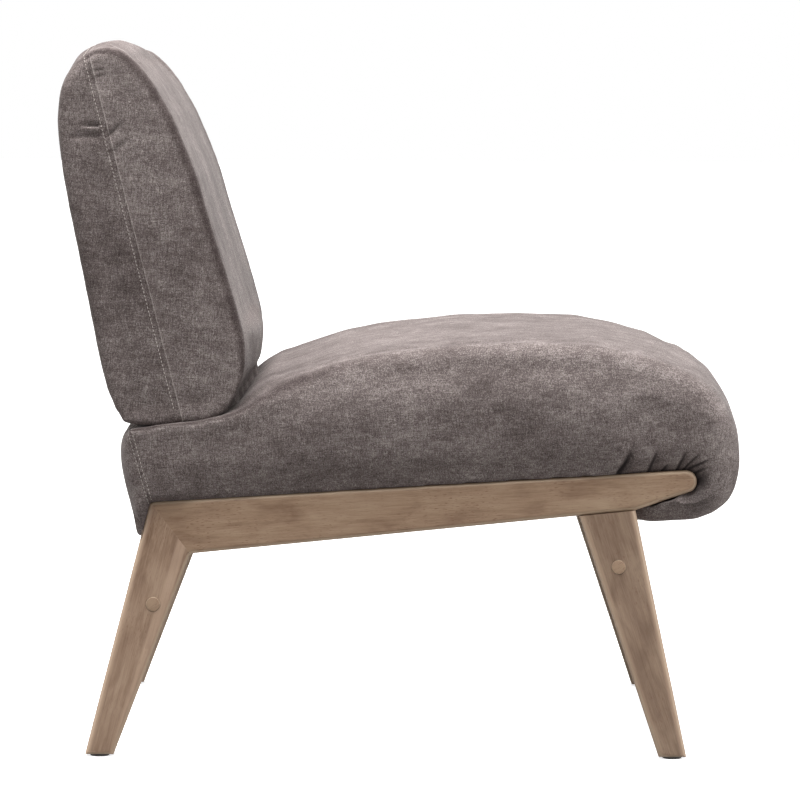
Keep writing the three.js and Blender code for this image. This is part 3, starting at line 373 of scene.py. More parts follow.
@dataclass(frozen=True)
class WeatheredWood:
    """Brown-grey hardwood with fine reddish streaks and open pores along its grain."""

    name: str
    turn: tuple[float, float, float] = (0.0, 0.0, 0.0)
    dark: Colour = shade(109, 84, 66)
    middle: Colour = shade(141, 117, 96)
    light: Colour = shade(162, 140, 117)
    pore: Colour = shade(96, 62, 46)
    # The colour of the paler rounded edges.
    pale_edges: Colour = shade(184, 164, 142)
    # The pale colour is painted light on the legs' lower parts and edges, and a plug's own paler
    # tone.
    pale_and_highlight: Colour = shade(198, 172, 150)
    pale_tone_and_painted_light: float = 0.0
    paling_heights: Spot = (0.275, 0.150)
    arris_highlights: tuple[Spot, ...] = ()
    arris_highlight_width: float = 0.008
    contrast: float = 1.0
    bands: Layer = Layer((2.4, 26.0, 34.0), 3.0, warp=0.8, share=0.4)
    streaks: Layer = Layer((9.0, 210.0, 260.0), 5.0, 0.62, 0.3, share=0.5)
    fibres: Layer = Layer((45.0, 1300.0, 1300.0), share=0.45)
    blotch: Layer = Layer((16.0, 42.0, 42.0), 3.0, 0.6, 0.5, share=0.95)
    flecks: Layer = Layer((170.0, 950.0, 950.0), 1.0)
    patches: Layer = Layer(24.0)
    pore_ends: Spot = (0.57, 0.70)
    patch_ends: Spot = (0.42, 0.62)
    edge_ends: Spot = (0.97, 0.80)
    pore_share: Spot = (0.3, 0.7)
    pore_strength: float = 0.55
    pale_edge_share: Spot = (0.45, 0.4)
    arris_highlight_share: Spot = (0.25, 0.25)
    rough: Spot = (0.5, 0.2)
    grain_height: float = 0.4
    pore_depth: float = 0.9
    relief: float = 0.0005

    def material(self) -> bpy.types.Material:
        """The wood as a material whose grain runs along X before the turn."""
        shader = Shader.named(self.name)
        place = shader.place(turn=self.turn)
        layers = (self.bands, self.streaks, self.fibres, self.blotch)
        _, streaks, fibres, _ = wires = [layer.on(shader, place) for layer in layers]
        tone = 0.5 + (tone_of(layers, wires) - 0.5) * self.contrast
        colour = shader.ramp(tone, ((0.15, self.dark), (0.5, self.middle), (0.85, self.light)))
        patches = shader.spread(self.patches.on(shader, place), *self.patch_ends)
        pores = shader.spread(self.flecks.on(shader, place), *self.pore_ends)
        pores = pores * rising(patches, *self.pore_share)
        colour = shader.blend(pores * self.pore_strength, colour, self.pore)
        # Rounded edges turn paler, more so along the streaks.
        pale_edges = self.edges(shader) * rising(streaks, *self.pale_edge_share)
        colour = shader.blend(pale_edges, colour, self.pale_edges)
        own = shader.node("SeparateXYZ", None, {0: shader.wire(shader.node("TexCoord"), "Object")})
        along, height = shader.wire(own, 0), shader.wire(own, 2)
        # Painted light: paler toward the floor, up to the heights given; a plug is paled all over,
        # its own tone.
        if self.pale_tone_and_painted_light > 0.0:
            pale_tone_and_painted_light = shader.spread(height, *self.paling_heights) * self.pale_tone_and_painted_light
            colour = shader.blend(pale_tone_and_painted_light, colour, self.pale_and_highlight)
        # Painted highlights: pale bands along the given edge lines, where rounded edges catch the
        # light.
        for start, lean in self.arris_highlights:
            off = shader.sum("ABSOLUTE", along - start - height * lean)
            band = shader.spread(off, self.arris_highlight_width, self.arris_highlight_width / 2)
            band = band * rising(streaks, *self.arris_highlight_share)
            colour = shader.blend(band, colour, self.pale_and_highlight)
        height = streaks * self.grain_height + fibres * self.grain_height - pores * self.pore_depth
        return shader.finish({
            "Base Color": colour,
            "Roughness": rising(streaks, *self.rough),
            "Specular IOR Level": 0.25,
            "Normal": shader.bump(height, self.relief, 0.35),
        })

    def edges(self, shader: Shader) -> Wire:
        """How far the surface has turned away from the piece's flat faces, as a share."""
        normal = shader.place(turn=self.turn, start=shader.wire(shader.node("TexCoord"), "Normal"))
        facing = shader.node("SeparateXYZ", None, {0: normal})
        sizes = (shader.sum("ABSOLUTE", shader.wire(facing, axis)) for axis in range(3))
        return shader.spread(shader.largest(*sizes), *self.edge_ends)


@dataclass(frozen=True)
class PlainFinish:
    """A plain finish made of one or two layers.

    Tone, rough and relief say how much each layer counts. Rough starts with the least roughness.
    """

    name: str
    dark: Colour
    light: Colour
    layers: tuple[Layer, ...]
    tone: tuple[float, ...]
    rough: tuple[float, ...]
    relief: tuple[float, ...]
    height: float
    strength: float = 0.5
    ends: Spot = (0.3, 0.7)
    extra: tuple[tuple[str, float], ...] = ()

    def material(self) -> bpy.types.Material:
        """The finish as a material."""
        shader = Shader.named(self.name)
        place = shader.place()
        wires = [layer.on(shader, place) for layer in self.layers]

        def mixed(shares: Sequence[float], start: float = 0.0) -> Number:
            """The layers added up by their shares."""
            return sum((wire * share for wire, share in zip(wires, shares) if share), start)

        stops = tuple(zip(self.ends, (self.dark, self.light)))
        return shader.finish({
            "Base Color": shader.ramp(mixed(self.tone), stops),
            "Roughness": mixed(self.rough[1:], self.rough[0]),
            "Normal": shader.bump(mixed(self.relief), self.height, self.strength),
            **dict(self.extra),
        })


SOFTWOOD = PlainFinish(
    "softwood_sawn", shade(176, 140, 96), shade(222, 194, 150),
    (Layer((14.0, 5.0, 130.0), 4.0, 0.55, 0.6), Layer((420.0, 420.0, 12.0), 1.0)),
    tone=(0.8, 0.2), rough=(0.6, 0.0, 0.3), relief=(1.0, 1.0), height=0.0004, strength=0.4)
PLYWOOD = PlainFinish(
    "plywood_sheet", shade(150, 112, 74), shade(206, 170, 124),
    (Layer((8.0, 9.0, 26.0), 5.0, 0.6, 1.4), Layer((600.0, 600.0, 20.0))),
    tone=(0.8, 0.2), rough=(0.55, 0.25), relief=(0.0, 1.0), height=0.0003, strength=0.4)
STEEL = PlainFinish(
    "plated_steel", shade(140, 142, 146), shade(202, 205, 208), (Layer(90.0, 3.0), Layer(900.0)),
    tone=(1.0,), rough=(0.25, 0.3), relief=(0.0, 1.0), height=0.0001, strength=0.3,
    extra=(("Metallic", 1.0),))
NYLON = PlainFinish(
    "moulded_nylon", shade(34, 32, 31), shade(64, 60, 58), (Layer(160.0, 4.0, 0.6), Layer(2600.0)),
    tone=(1.0,), rough=(0.45, 0.25), relief=(0.0, 1.0), height=0.0001, ends=(0.35, 0.75))
WEBBING = PlainFinish(
    "woven_webbing", shade(48, 46, 44), shade(104, 98, 90),
    (Layer((380.0, 380.0, 60.0)), Layer(1800.0)),
    tone=(0.6, 0.4), rough=(0.85,), relief=(0.6, 0.4), height=0.0006, ends=(0.35, 0.65))
CAMBRIC = PlainFinish(
    "cambric_lining", shade(22, 21, 21), shade(56, 54, 53),
    (Layer(700.0, 4.0, 0.7, 1.2), Cells(420.0)),
    tone=(0.7, 0.6), rough=(0.9,), relief=(0.7, 0.6), height=0.0004, ends=(0.3, 0.75))
THREAD = PlainFinish(
    "stitching_thread", shade(138, 128, 122), shade(206, 198, 190), (Layer(2400.0, 1.0),),
    tone=(1.0,), rough=(0.7,), relief=(1.0,), height=0.0002, ends=(0.35, 0.65),
    extra=(("Sheen Weight", 0.3),))


# Mesh helpers


def copy_of_nodes(names: Iterable[str]) -> bmesh.types.BMesh:
    """The meshes of some CAD nodes, joined in one bmesh with their doubled vertices merged."""
    made = bmesh.new()
    for name in names:
        made.from_mesh(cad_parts[name].data)
    bmesh.ops.remove_doubles(made, verts=made.verts, dist=MERGED)
    return made


def linked(item: bpy.types.Object) -> bpy.types.Object:
    """Puts an object in the scene and returns it."""
    bpy.context.scene.collection.objects.link(item)
    return item


def shade_smooth(mesh: bpy.types.Mesh) -> None:
    """Marks every face of a mesh as smooth."""
    mesh.polygons.foreach_set("use_smooth", [True] * len(mesh.polygons))


def new_object(name: str, made: bmesh.types.BMesh) -> bpy.types.Object:
    """An object at the origin that holds a bmesh, smooth shaded, and frees the bmesh."""
    mesh = bpy.data.meshes.new(name)
    made.to_mesh(mesh)
    made.free()
    shade_smooth(mesh)
    return linked(bpy.data.objects.new(name, mesh))


def apply_modifiers(piece: bpy.types.Object) -> None:
    """Makes what a piece's modifiers give its own mesh, and removes them."""
    graph = bpy.context.evaluated_depsgraph_get()
    graph.update()
    mesh = bpy.data.meshes.new_from_object(piece.evaluated_get(graph))
    piece.modifiers.clear()
    old, piece.data = piece.data, mesh
    bpy.data.meshes.remove(old)
    mesh.name = piece.name


def dress(piece: bpy.types.Object, material: bpy.types.Material) -> None:
    """Gives a piece one material."""
    piece.data.materials.clear()
    piece.data.materials.append(material)


def hill(distance: Rows, width: float) -> Rows:
    """A smooth hill of height 1 at no distance, about a third at one width."""
    return np.exp(-(distance / width) ** 2)


def ease(value: Rows, low: float, high: float) -> Rows:
    """0 up to low, 1 from high on, and smooth between; low may be above high."""
    share = np.clip((value - low) / (high - low), 0.0, 1.0)
    return share * share * (3.0 - 2.0 * share)


def rows_of(items: bpy.types.bpy_prop_collection, name: str) -> Rows:
    """The vector that each of a mesh's items holds under a name, in rows."""
    values = np.empty(len(items) * 3)
    items.foreach_get(name, values)
    return values.reshape(-1, 3)


def places_of(mesh: bpy.types.Mesh) -> Rows:
    """A mesh's vertices as rows of X, Y and Z."""
    return rows_of(mesh.vertices, "co")


def outward_of(mesh: bpy.types.Mesh) -> Rows:
    """The outward directions at a mesh's vertices, in rows."""
    return rows_of(mesh.vertex_normals, "vector")


def put_places(mesh: bpy.types.Mesh, places: Rows) -> None:
    """Moves a mesh's vertices to rows of X, Y and Z."""
    mesh.vertices.foreach_set("co", places.astype(np.float32).ravel())
    mesh.update()


def turning(outward: Rows) -> Rows:
    """How near directions are to half way between sideways and square to that, as a share."""
    return 2 * np.abs(outward[:, 1]) * np.sqrt(np.maximum(1 - outward[:, 1] ** 2, 0.0))


def tree_of(name: str) -> BVHTree:
    """The faces of a CAD node, ready to be searched."""
    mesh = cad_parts[name].data
    places = [vert.co for vert in mesh.vertices]
    return BVHTree.FromPolygons(places, [face.vertices for face in mesh.polygons])


class Net:
    """The edges of a mesh, for averaging over each vertex's neighbours."""

    def __init__(self, mesh: bpy.types.Mesh) -> None:
        """Reads the mesh's edges."""
        pairs = np.empty(len(mesh.edges) * 2, dtype=np.int32)
        mesh.edges.foreach_get("vertices", pairs)
        self.first, self.second = pairs.reshape(-1, 2).T
        self.count = len(mesh.vertices)
        self.degree = np.maximum(np.bincount(pairs, minlength=self.count), 1)

    def average(self, values: Rows) -> Rows:
        """The mean of each vertex's neighbours, for one value or one row a vertex."""
        columns = values.reshape(self.count, -1).T
        sums = [np.bincount(self.first, column[self.second], self.count)
                + np.bincount(self.second, column[self.first], self.count)
                for column in columns]
        return (np.stack(sums) / self.degree).T.reshape(values.shape)

    def soften(self, values: Rows, rounds: int) -> Rows:
        """The values with each round bringing them half way to their neighbours' mean."""
        for _ in range(rounds):
            values = (values + self.average(values)) / 2
        return values

    def iron(self, places: Rows, rounds: int, loosen: float = 0.53) -> Rows:
        """The places with their kinks ironed out, and their broad shape and size kept."""
        for _ in range(rounds):
            places = (places + self.average(places)) / 2
            places = places - loosen * (self.average(places) - places)
        return places


def keep_largest(piece: bpy.types.Object) -> None:
    """Deletes every part of a piece's mesh but the one with the most vertices."""
    made = bmesh.new()
    made.from_mesh(piece.data)
    left, islands = set(made.verts), []
    while left:
        front = [left.pop()]
        island = list(front)
        while front:
            found = [edge.other_vert(vert) for vert in front for edge in vert.link_edges]
            front = [vert for vert in set(found) if vert in left]
            left.difference_update(front)
            island.extend(front)
        islands.append(island)
    islands.sort(key=len)
    for island in islands[:-1]:
        bmesh.ops.delete(made, geom=island, context="VERTS")
    made.to_mesh(piece.data)
    made.free()


# Sewn work


def nearest_on(flat: Rows, spots: Rows) -> tuple[Rows, Rows, Rows, Rows]:
    """Where places lie by a line through spots in side view.

    Args:
        flat: the places, in rows of along and above.
        spots: the spots, in such rows.

    Returns:
        Their distances from it, the nearest places on it in rows, those places' shares of the way
        along it, and 1 for places on its left and -1 for places on its right.
    """
    lengths = np.linalg.norm(np.diff(spots, axis=0), axis=1)
    away, share, side = np.full(len(flat), FAR), np.zeros(len(flat)), np.ones(len(flat))
    nearest, before = np.zeros_like(flat), 0.0
    for start, end, length in zip(spots[:-1], spots[1:], lengths):
        way, offset = (end - start) / length, flat - start
        reach = np.clip(offset @ way, 0.0, length)
        here = np.linalg.norm(offset - reach[:, None] * way, axis=1)
        left = np.where(way[0] * offset[:, 1] - way[1] * offset[:, 0] >= 0, 1.0, -1.0)
        closer = here < away
        away, side = np.where(closer, here, away), np.where(closer, left, side)
        nearest = np.where(closer[:, None], start + reach[:, None] * way, nearest)
        share = np.where(closer, (before + reach) / lengths.sum(), share)
        before += length
    return away, nearest, share, side


@dataclass(frozen=True)
class Outline:
    """A closed outline in side view, turning left, in along and above."""

    spots: tuple[Spot, ...]

    def measure(self, flat: Rows) -> tuple[Rows, Rows]:
        """Where places lie by the outline.

        Args:
            flat: the places, in rows of along and above.

        Returns:
            Their distances from it, negative inside, and the nearest places on it in rows.
        """
        closed = np.array(self.spots + self.spots[:1])
        away, nearest, _, _ = nearest_on(flat, closed)
        inside = np.zeros(len(flat), dtype=bool)
        for start, end in zip(closed, closed[1:]):
            if start[1] != end[1]:
                lean = (end[0] - start[0]) / (end[1] - start[1])
                crosses = (start[1] > flat[:, 1]) != (end[1] > flat[:, 1])
                inside ^= crosses & (flat[:, 0] < start[0] + (flat[:, 1] - start[1]) * lean)
        return np.where(inside, -away, away), nearest


@dataclass(frozen=True)
class WoodenSide:
    """The side of the wooden frame that the seat is notched round, in side view."""

    nose_centre: Spot = (0.5955, -0.0125)
    nose_radius: float = 0.0125
    leg_corner: Spot = (0.5376, -0.0441)
    leg_foot: Spot = (0.5714, -0.2700)
    rear_leg_foot: Spot = (-0.0872, -0.2700)
    steps: int = 12
    inner_face: float = 0.268
    outer_face: float = 0.300

    def outline(self) -> Outline:
        """The outline of the rail, its nose and the outer edges of both legs."""
        corner = np.array(self.leg_corner) - np.array(self.nose_centre)
        toward = math.atan2(corner[1], corner[0])
        last = toward - math.acos(self.nose_radius / float(np.hypot(*corner)))
        first = math.pi / 2
        turn = (last - first) % (-2 * math.pi)
        arc = []
        for step in range(self.steps + 1):
            angle = first + turn * step / self.steps
            arc.append((self.nose_centre[0] + self.nose_radius * math.cos(angle),
                        self.nose_centre[1] + self.nose_radius * math.sin(angle)))
        corners = (self.rear_leg_foot, self.leg_foot, self.leg_corner)
        return Outline((*corners, *reversed(arc), (0.0, 0.0)))


@dataclass(frozen=True)
class Fold:
    """A fold pressed into the cloth on a cushion's sides, in side view.

    It is deepest at its first spot. One wall is steep, and the other slopes gently back up. The
    lip and the core of painted shade lie beside it, each with its distance and breadth in widths
    of the fold.
    """

    spots: tuple[Spot, ...]
    depth: float = 0.0022
    width: float = 0.0014
    slope: float = 0.0050
    lip: float = 0.15
    lip_spot: Spot = (3.0, 2.0)
    core_spot: Spot = (-0.4, 0.9)
    steep: Way = Way.LEFT
    fade_in: float = 0.0
    fade_out: float = 0.35
    full_depth: float = 0.0040

    def measure(self, flat: Rows) -> tuple[Rows, Rows]:
        """How far on the fold's left places in side view lie, and at what share along it."""
        away, _, share, side = nearest_on(flat, np.array(self.spots))
        return away * side, share

    def push(self, flat: Rows) -> Rows:
        """How far the cloth moves outward at places in side view, negative for inward."""
        away, share = self.measure(flat)
        fade = ease(share, 1.0, self.fade_out)
        if self.fade_in > 0.0:
            fade = fade * ease(share, 0.0, self.fade_in)
        steep = away * self.steep.value
        groove = np.where(steep > 0, hill(away, self.width), hill(away, self.slope))
        far, broad = self.lip_spot
        raised = hill(steep - far * self.width, broad * self.width)
        return self.depth * fade * (self.lip * raised - groove)

    def shadow(self, flat: Rows) -> Rows:
        """How far places lie in the fold's crease, where little light comes, as a share of painted
        shade.
        """
        away, share = self.measure(flat)
        far, broad = self.core_spot
        core = hill(away * self.steep.value - far * self.width, broad * self.width)
        fade = ease(share, 1.0, self.fade_out)
        return np.clip(self.depth / self.full_depth, 0.0, 1.0) * fade * core


def folds_of(*rows: tuple) -> tuple[Fold, ...]:
    """Folds from rows in millimetres: their spots in side view, then depth, width and slope."""
    made = []
    for *spots, depth, width, slope in rows:
        places = tuple((along / PER_METRE, above / PER_METRE) for along, above in spots)
        made.append(Fold(places, depth / PER_METRE, width / PER_METRE, slope / PER_METRE))
    return tuple(made)


@dataclass(frozen=True)
class Seam:
    """A sewn seam where a leaning plane cuts a cushion.

    The foot is where the plane meets the rail's top line, and lean is how far it leans back there.
    """

    foot: float
    lean: float
    depth: float = 0.0010
    width: float = 0.0022
    cord: float = 0.0006
    cord_width: float = 0.0006
    valley_back: float = 1.5
    shoulder: float = 0.0008
    shoulder_width: float = 0.012
    cuts: tuple[float, ...] = (
        -0.0060, -0.0036, -0.0018, -0.0009, -0.0004, 0.0, 0.0004, 0.0009, 0.0018, 0.0036)
    cut_distance: float = 0.00005

    def normal(self) -> Vector:
        """The plane's direction, forward."""
        return RAIL.direction(math.cos(self.lean), math.sin(self.lean)).normalized()

    def origin(self, shift: float = 0.0) -> Vector:
        """A point of the plane, or of one set forward by shift."""
        return RAIL.point(self.foot, 0.0) + self.normal() * shift

    def ahead(self, places: Rows) -> Rows:
        """How far points are in front of the plane."""
        return (places - np.array(self.origin())) @ np.array(self.normal())

    def cut(self, made: bmesh.types.BMesh, shift: float) -> list[bmesh.types.BMEdge]:
        """Cuts edges into a mesh along the plane set forward by shift, and returns them."""
        geometry = made.verts[:] + made.edges[:] + made.faces[:]
        done = bmesh.ops.bisect_plane(made, geom=geometry, dist=self.cut_distance,
                                      plane_co=self.origin(shift), plane_no=self.normal())
        return [item for item in done["geom_cut"] if isinstance(item, bmesh.types.BMEdge)]

    def push(self, places: Rows) -> Rows:
        """How far the cloth moves outward at points."""
        away = self.ahead(places)
        valley = -self.depth * hill(away + self.valley_back * self.width, self.width)
        edge = self.cord * hill(away, self.cord_width)
        front = self.shoulder * ease(away, 0.0, self.cord_width * 2)
        return valley + edge + front * np.exp(-np.abs(away) / self.shoulder_width)


@dataclass(frozen=True)
class Stitching:
    """A run of stitches laid on a cushion, parallel to a seam."""

    name: str
    seam: Seam
    shift: float
    above: float
    pitch: float = 0.0044
    length: float = 0.0027
    thickness: float = 0.0007
    flatness: float = 1.2
    sink: float = 0.12
    reach: float = 0.012
    shortest_run: int = 4
    shortest_step: float = 1e-7
    segments: tuple[int, int] = (6, 4)

    def runs(self, piece: bpy.types.Object) -> list[list[tuple[Vector, Vector]]]:
        """The lines that the stitches follow, as the cloth's points and outward directions."""
        made = bmesh.new()
        made.from_mesh(piece.data)
        made.normal_update()
        places = places_of(piece.data)
        far = np.abs(self.seam.ahead(places) - self.shift) > self.reach
        low = RAIL.side_view(places)[:, 1] < self.above
        made.verts.ensure_lookup_table()
        away = [made.verts[i] for i in np.nonzero(far | low)[0]]
        bmesh.ops.delete(made, geom=away, context="VERTS")
        links: dict = {}
        for edge in self.seam.cut(made, self.shift):
            for vert in edge.verts:
                links.setdefault(vert, []).append(edge)
        runs, used = [], set()
        starts = [vert for vert in links if len(links[vert]) == 1] or list(links)[:1]
        for start in sorted(starts, key=lambda vert: (vert.co.y, vert.co.z)):
            vert, run = start, [start]
            while True:
                ahead = [edge for edge in links[vert] if edge not in used]
                if not ahead:
                    break
                used.add(ahead[0])
                vert = ahead[0].other_vert(vert)
                run.append(vert)
            if len(run) > self.shortest_run:
                runs.append([(v.co.copy(), v.normal.copy()) for v in run])
        made.free()
        return runs

    def spots(self, run: list[tuple[Vector, Vector]]) -> list[tuple[Vector, Vector, Vector]]:
        """Where the stitches of one line go: middle, direction and outward direction."""
        spots, carried = [], self.pitch / 2
        for (here, out), (there, out_there) in zip(run, run[1:]):
            step = there - here
            length = step.length
            if length < self.shortest_step:
                continue
            while carried < length:
                share = carried / length
                turned = out.lerp(out_there, share).normalized()
                spots.append((here.lerp(there, share), step / length, turned))
                carried += self.pitch
            carried -= length
        return spots

    def build(self, piece: bpy.types.Object) -> bpy.types.Object:
        """Makes the stitches as one piece and returns it."""
        stitch = bmesh.new()
        around, along = self.segments
        bmesh.ops.create_uvsphere(stitch, u_segments=around, v_segments=along, radius=1.0)
        size = (self.thickness / 2 / self.flatness, self.thickness / 2, self.length / 2)
        bmesh.ops.scale(stitch, vec=size, verts=stitch.verts)
        pattern = bpy.data.meshes.new("stitch")
        stitch.to_mesh(pattern)
        stitch.free()
        made = bmesh.new()
        for run in self.runs(piece):
            for middle, way, out in self.spots(run):
                across = way.cross(out).normalized()
                out = across.cross(way).normalized()
                turn = Matrix((out, across, way)).transposed().to_4x4()
                one = pattern.copy()
                one.transform(Matrix.Translation(middle + out * self.thickness * self.sink) @ turn)
                made.from_mesh(one)
                bpy.data.meshes.remove(one)
        bpy.data.meshes.remove(pattern)
        bmesh.ops.recalc_face_normals(made, faces=made.faces)
        return new_object(self.name, made)


# Cushions


@dataclass
class Cushion:
    """A stuffed cushion that stands for its foam and covers.

    It starts a little slack, swells as cloth under pressure, and then gets its seams and folds.
    """

    name: str
    nodes: tuple[str, ...]
    inside: tuple[str, ...]
    finish: "Chenille"
    seam: Seam
    folds: tuple[Fold, ...] = ()
    voxel: float = 0.006
    pressure: float = 4.0
    slack: float = 0.0012
    cap: float = 0.0026
    fill: float = 0.8
    fold_zone: float = 0.012
    frames: int = 14
    ironing: int = 24
    settling: int = 8
    fold_from: float = 0.22
    fold_cuts: int = 2
    fold_smoothing: int = 3
    sideways: Spot = (0.25, 0.6)
    shaded: Spot = (0.1, 0.4)
    upturned: Spot = (0.3, 0.8)
    top_ease: float = 0.6
    half_width: float = 0.316
    flat_power: int = 8
    corner_power: int = 4

    def held(self, flat: Rows, across: Rows) -> Rows:
        """Which points the cloth is fastened or pressed at, so that it can't swell there."""
        return np.zeros(len(flat), dtype=bool)

    def fit(self, places: Rows) -> Rows:
        """The points moved clear of what the cushion touches."""
        return places

    def shape(self, places: Rows, outward: Rows) -> Rows:
        """The points moved to the stuffed shape that the plain solids only stand for."""
        return places

    def middle(self, places: Rows) -> Rows:
        """1 at the cushion's middle plane, and less toward its sides."""
        return np.clip(1 - (places[:, 1] / self.half_width) ** 2, 0.0, 1.0)

    def start(self) -> bpy.types.Object:
        """The cushion's start shape: one skin round all it holds, in even faces."""
        piece = new_object(self.name, copy_of_nodes(self.nodes + self.inside))
        remesh = piece.modifiers.new("Even", "REMESH")
        remesh.mode = "VOXEL"
        remesh.voxel_size = self.voxel
        apply_modifiers(piece)
        keep_largest(piece)
        put_places(piece.data, self.shape(places_of(piece.data), outward_of(piece.data)))
        put_places(piece.data, Net(piece.data).iron(places_of(piece.data), self.ironing))
        put_places(piece.data, self.fit(places_of(piece.data)))
        return piece

    def inflate(self, piece: bpy.types.Object) -> None:
        """Swells the start shape as cloth under pressure, and limits how far each point goes."""
        net, places, outward = Net(piece.data), places_of(piece.data), outward_of(piece.data)
        held = self.held(RAIL.side_view(places), places[:, 1])
        free = net.soften(np.where(held, 0.0, 1.0), self.settling)
        rest = places - outward * (self.slack * free)[:, None]
        put_places(piece.data, rest)
        pins = piece.vertex_groups.new(name="held")
        pins.add([int(i) for i in np.nonzero(held)[0]], 1.0, "REPLACE")
        cloth = piece.modifiers.new("Cloth", "CLOTH")
        cloth.settings.effector_weights.gravity = 0.0
        chosen = {
            "quality": 5, "mass": 0.3, "tension_stiffness": 12, "compression_stiffness": 12,
            "shear_stiffness": 6, "bending_stiffness": 0.8, "use_pressure": True,
            "uniform_pressure_force": self.pressure, "vertex_group_mass": pins.name,
        }
        for name, value in chosen.items():
            setattr(cloth.settings, name, value)
        cloth.collision_settings.use_collision = False
        cloth.collision_settings.use_self_collision = False
        cloth.point_cache.frame_start = 1
        cloth.point_cache.frame_end = self.frames
        scene = bpy.context.scene
        for number in range(1, self.frames + 1):
            scene.frame_set(number)
        apply_modifiers(piece)
        scene.frame_set(1)
        piece.vertex_groups.clear()
        swell = np.maximum(((places_of(piece.data) - rest) * outward).sum(axis=1), 0.0)
        LOG.info("%s: swelled %.1f mm on average", self.name, PER_METRE * swell.mean())
        swell = net.soften(self.cap * (1 - np.exp(-swell / self.cap)) * free, self.settling)
        put_places(piece.data, rest + outward * swell[:, None])

    def refine(self, made: bmesh.types.BMesh) -> None:
        """Adds finer faces where folds are pressed in."""
        made.verts.ensure_lookup_table()
        places = np.array([vert.co for vert in made.verts])
        flat = RAIL.side_view(places)
        near = self.near_folds(flat) & (np.abs(places[:, 1]) > self.fold_from)
        chosen = [edge for edge in made.edges if all(near[vert.index] for vert in edge.verts)]
        done = bmesh.ops.subdivide_edges(
            made, edges=chosen, cuts=self.fold_cuts, use_grid_fill=True)
        fresh = {item for item in done["geom_inner"] if isinstance(item, bmesh.types.BMVert)}
        fresh.update(vert for edge in chosen if edge.is_valid for vert in edge.verts)
        for _ in range(self.fold_smoothing):
            bmesh.ops.smooth_vert(made, verts=list(fresh), factor=0.5,
                                  use_axis_x=True, use_axis_y=True, use_axis_z=True)

    def near_folds(self, flat: Rows) -> Rows:
        """Which points lie close to a fold in side view."""
        near = np.zeros(len(flat), dtype=bool)
        for fold in self.folds:
            near |= np.abs(fold.measure(flat)[0]) < self.fold_zone
        return near

    def push(self, places: Rows, outward: Rows) -> Rows:
        """How far seams and folds move the cloth outward at points."""
        sewn = self.seam.push(places) * (1 - self.top_ease * ease(outward[:, 2], *self.upturned))
        return sewn + self.folded(places) * ease(np.abs(outward[:, 1]), *self.sideways)

    def folded(self, places: Rows) -> Rows:
        """How far all folds move the cloth outward at points on a cushion's side."""
        flat = RAIL.side_view(places)
        return sum((fold.push(flat) for fold in self.folds), np.zeros(len(flat)))

    def sculpt(self, piece: bpy.types.Object) -> None:
        """Cuts the seam's edges in, and moves the cloth for seams and folds."""
        made = bmesh.new()
        made.from_mesh(piece.data)
        self.refine(made)
        for shift in self.seam.cuts:
            self.seam.cut(made, shift)
        made.to_mesh(piece.data)
        made.free()
        piece.data.update()
        places, outward = places_of(piece.data), outward_of(piece.data)
        push = self.push(places, outward)
        # The cloth's painted light and painted shade, kept as point attributes.
        layers = {"nap": self.nap(places, outward), "shadow": self.shadow(places, outward)}
        for name, values in layers.items():
            layer = piece.data.attributes.new(name, "FLOAT", "POINT")
            layer.data.foreach_set("value", values.astype(np.float32))
        put_places(piece.data, self.fit(places + outward * push[:, None]))
        shade_smooth(piece.data)

    def nap(self, places: Rows, outward: Rows) -> Rows:
        """Painted light on the cloth: below 0 for painted shade, above 0 for a painted highlight.
        """
        return np.zeros(len(places))

    def shadow(self, places: Rows, outward: Rows) -> Rows:
        """How far points lie in a crease, as a share of painted shade."""
        flat = RAIL.side_view(places)
        creased = sum((fold.shadow(flat) for fold in self.folds), np.zeros(len(flat)))
        return np.clip(creased, 0.0, 1.0) * ease(np.abs(outward[:, 1]), *self.shaded)

    def build(self) -> bpy.types.Object:
        """Makes the whole cushion and returns it."""
        piece = self.start()
        self.inflate(piece)
        finer = piece.modifiers.new("Finer", "SUBSURF")
        finer.levels = finer.render_levels = 1
        apply_modifiers(piece)
        self.sculpt(piece)
        dress(piece, self.finish.material())
        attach(piece, BODY)
        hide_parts(*self.nodes)
        LOG.info("%s: %d faces", piece.name, len(piece.data.polygons))
        return piece


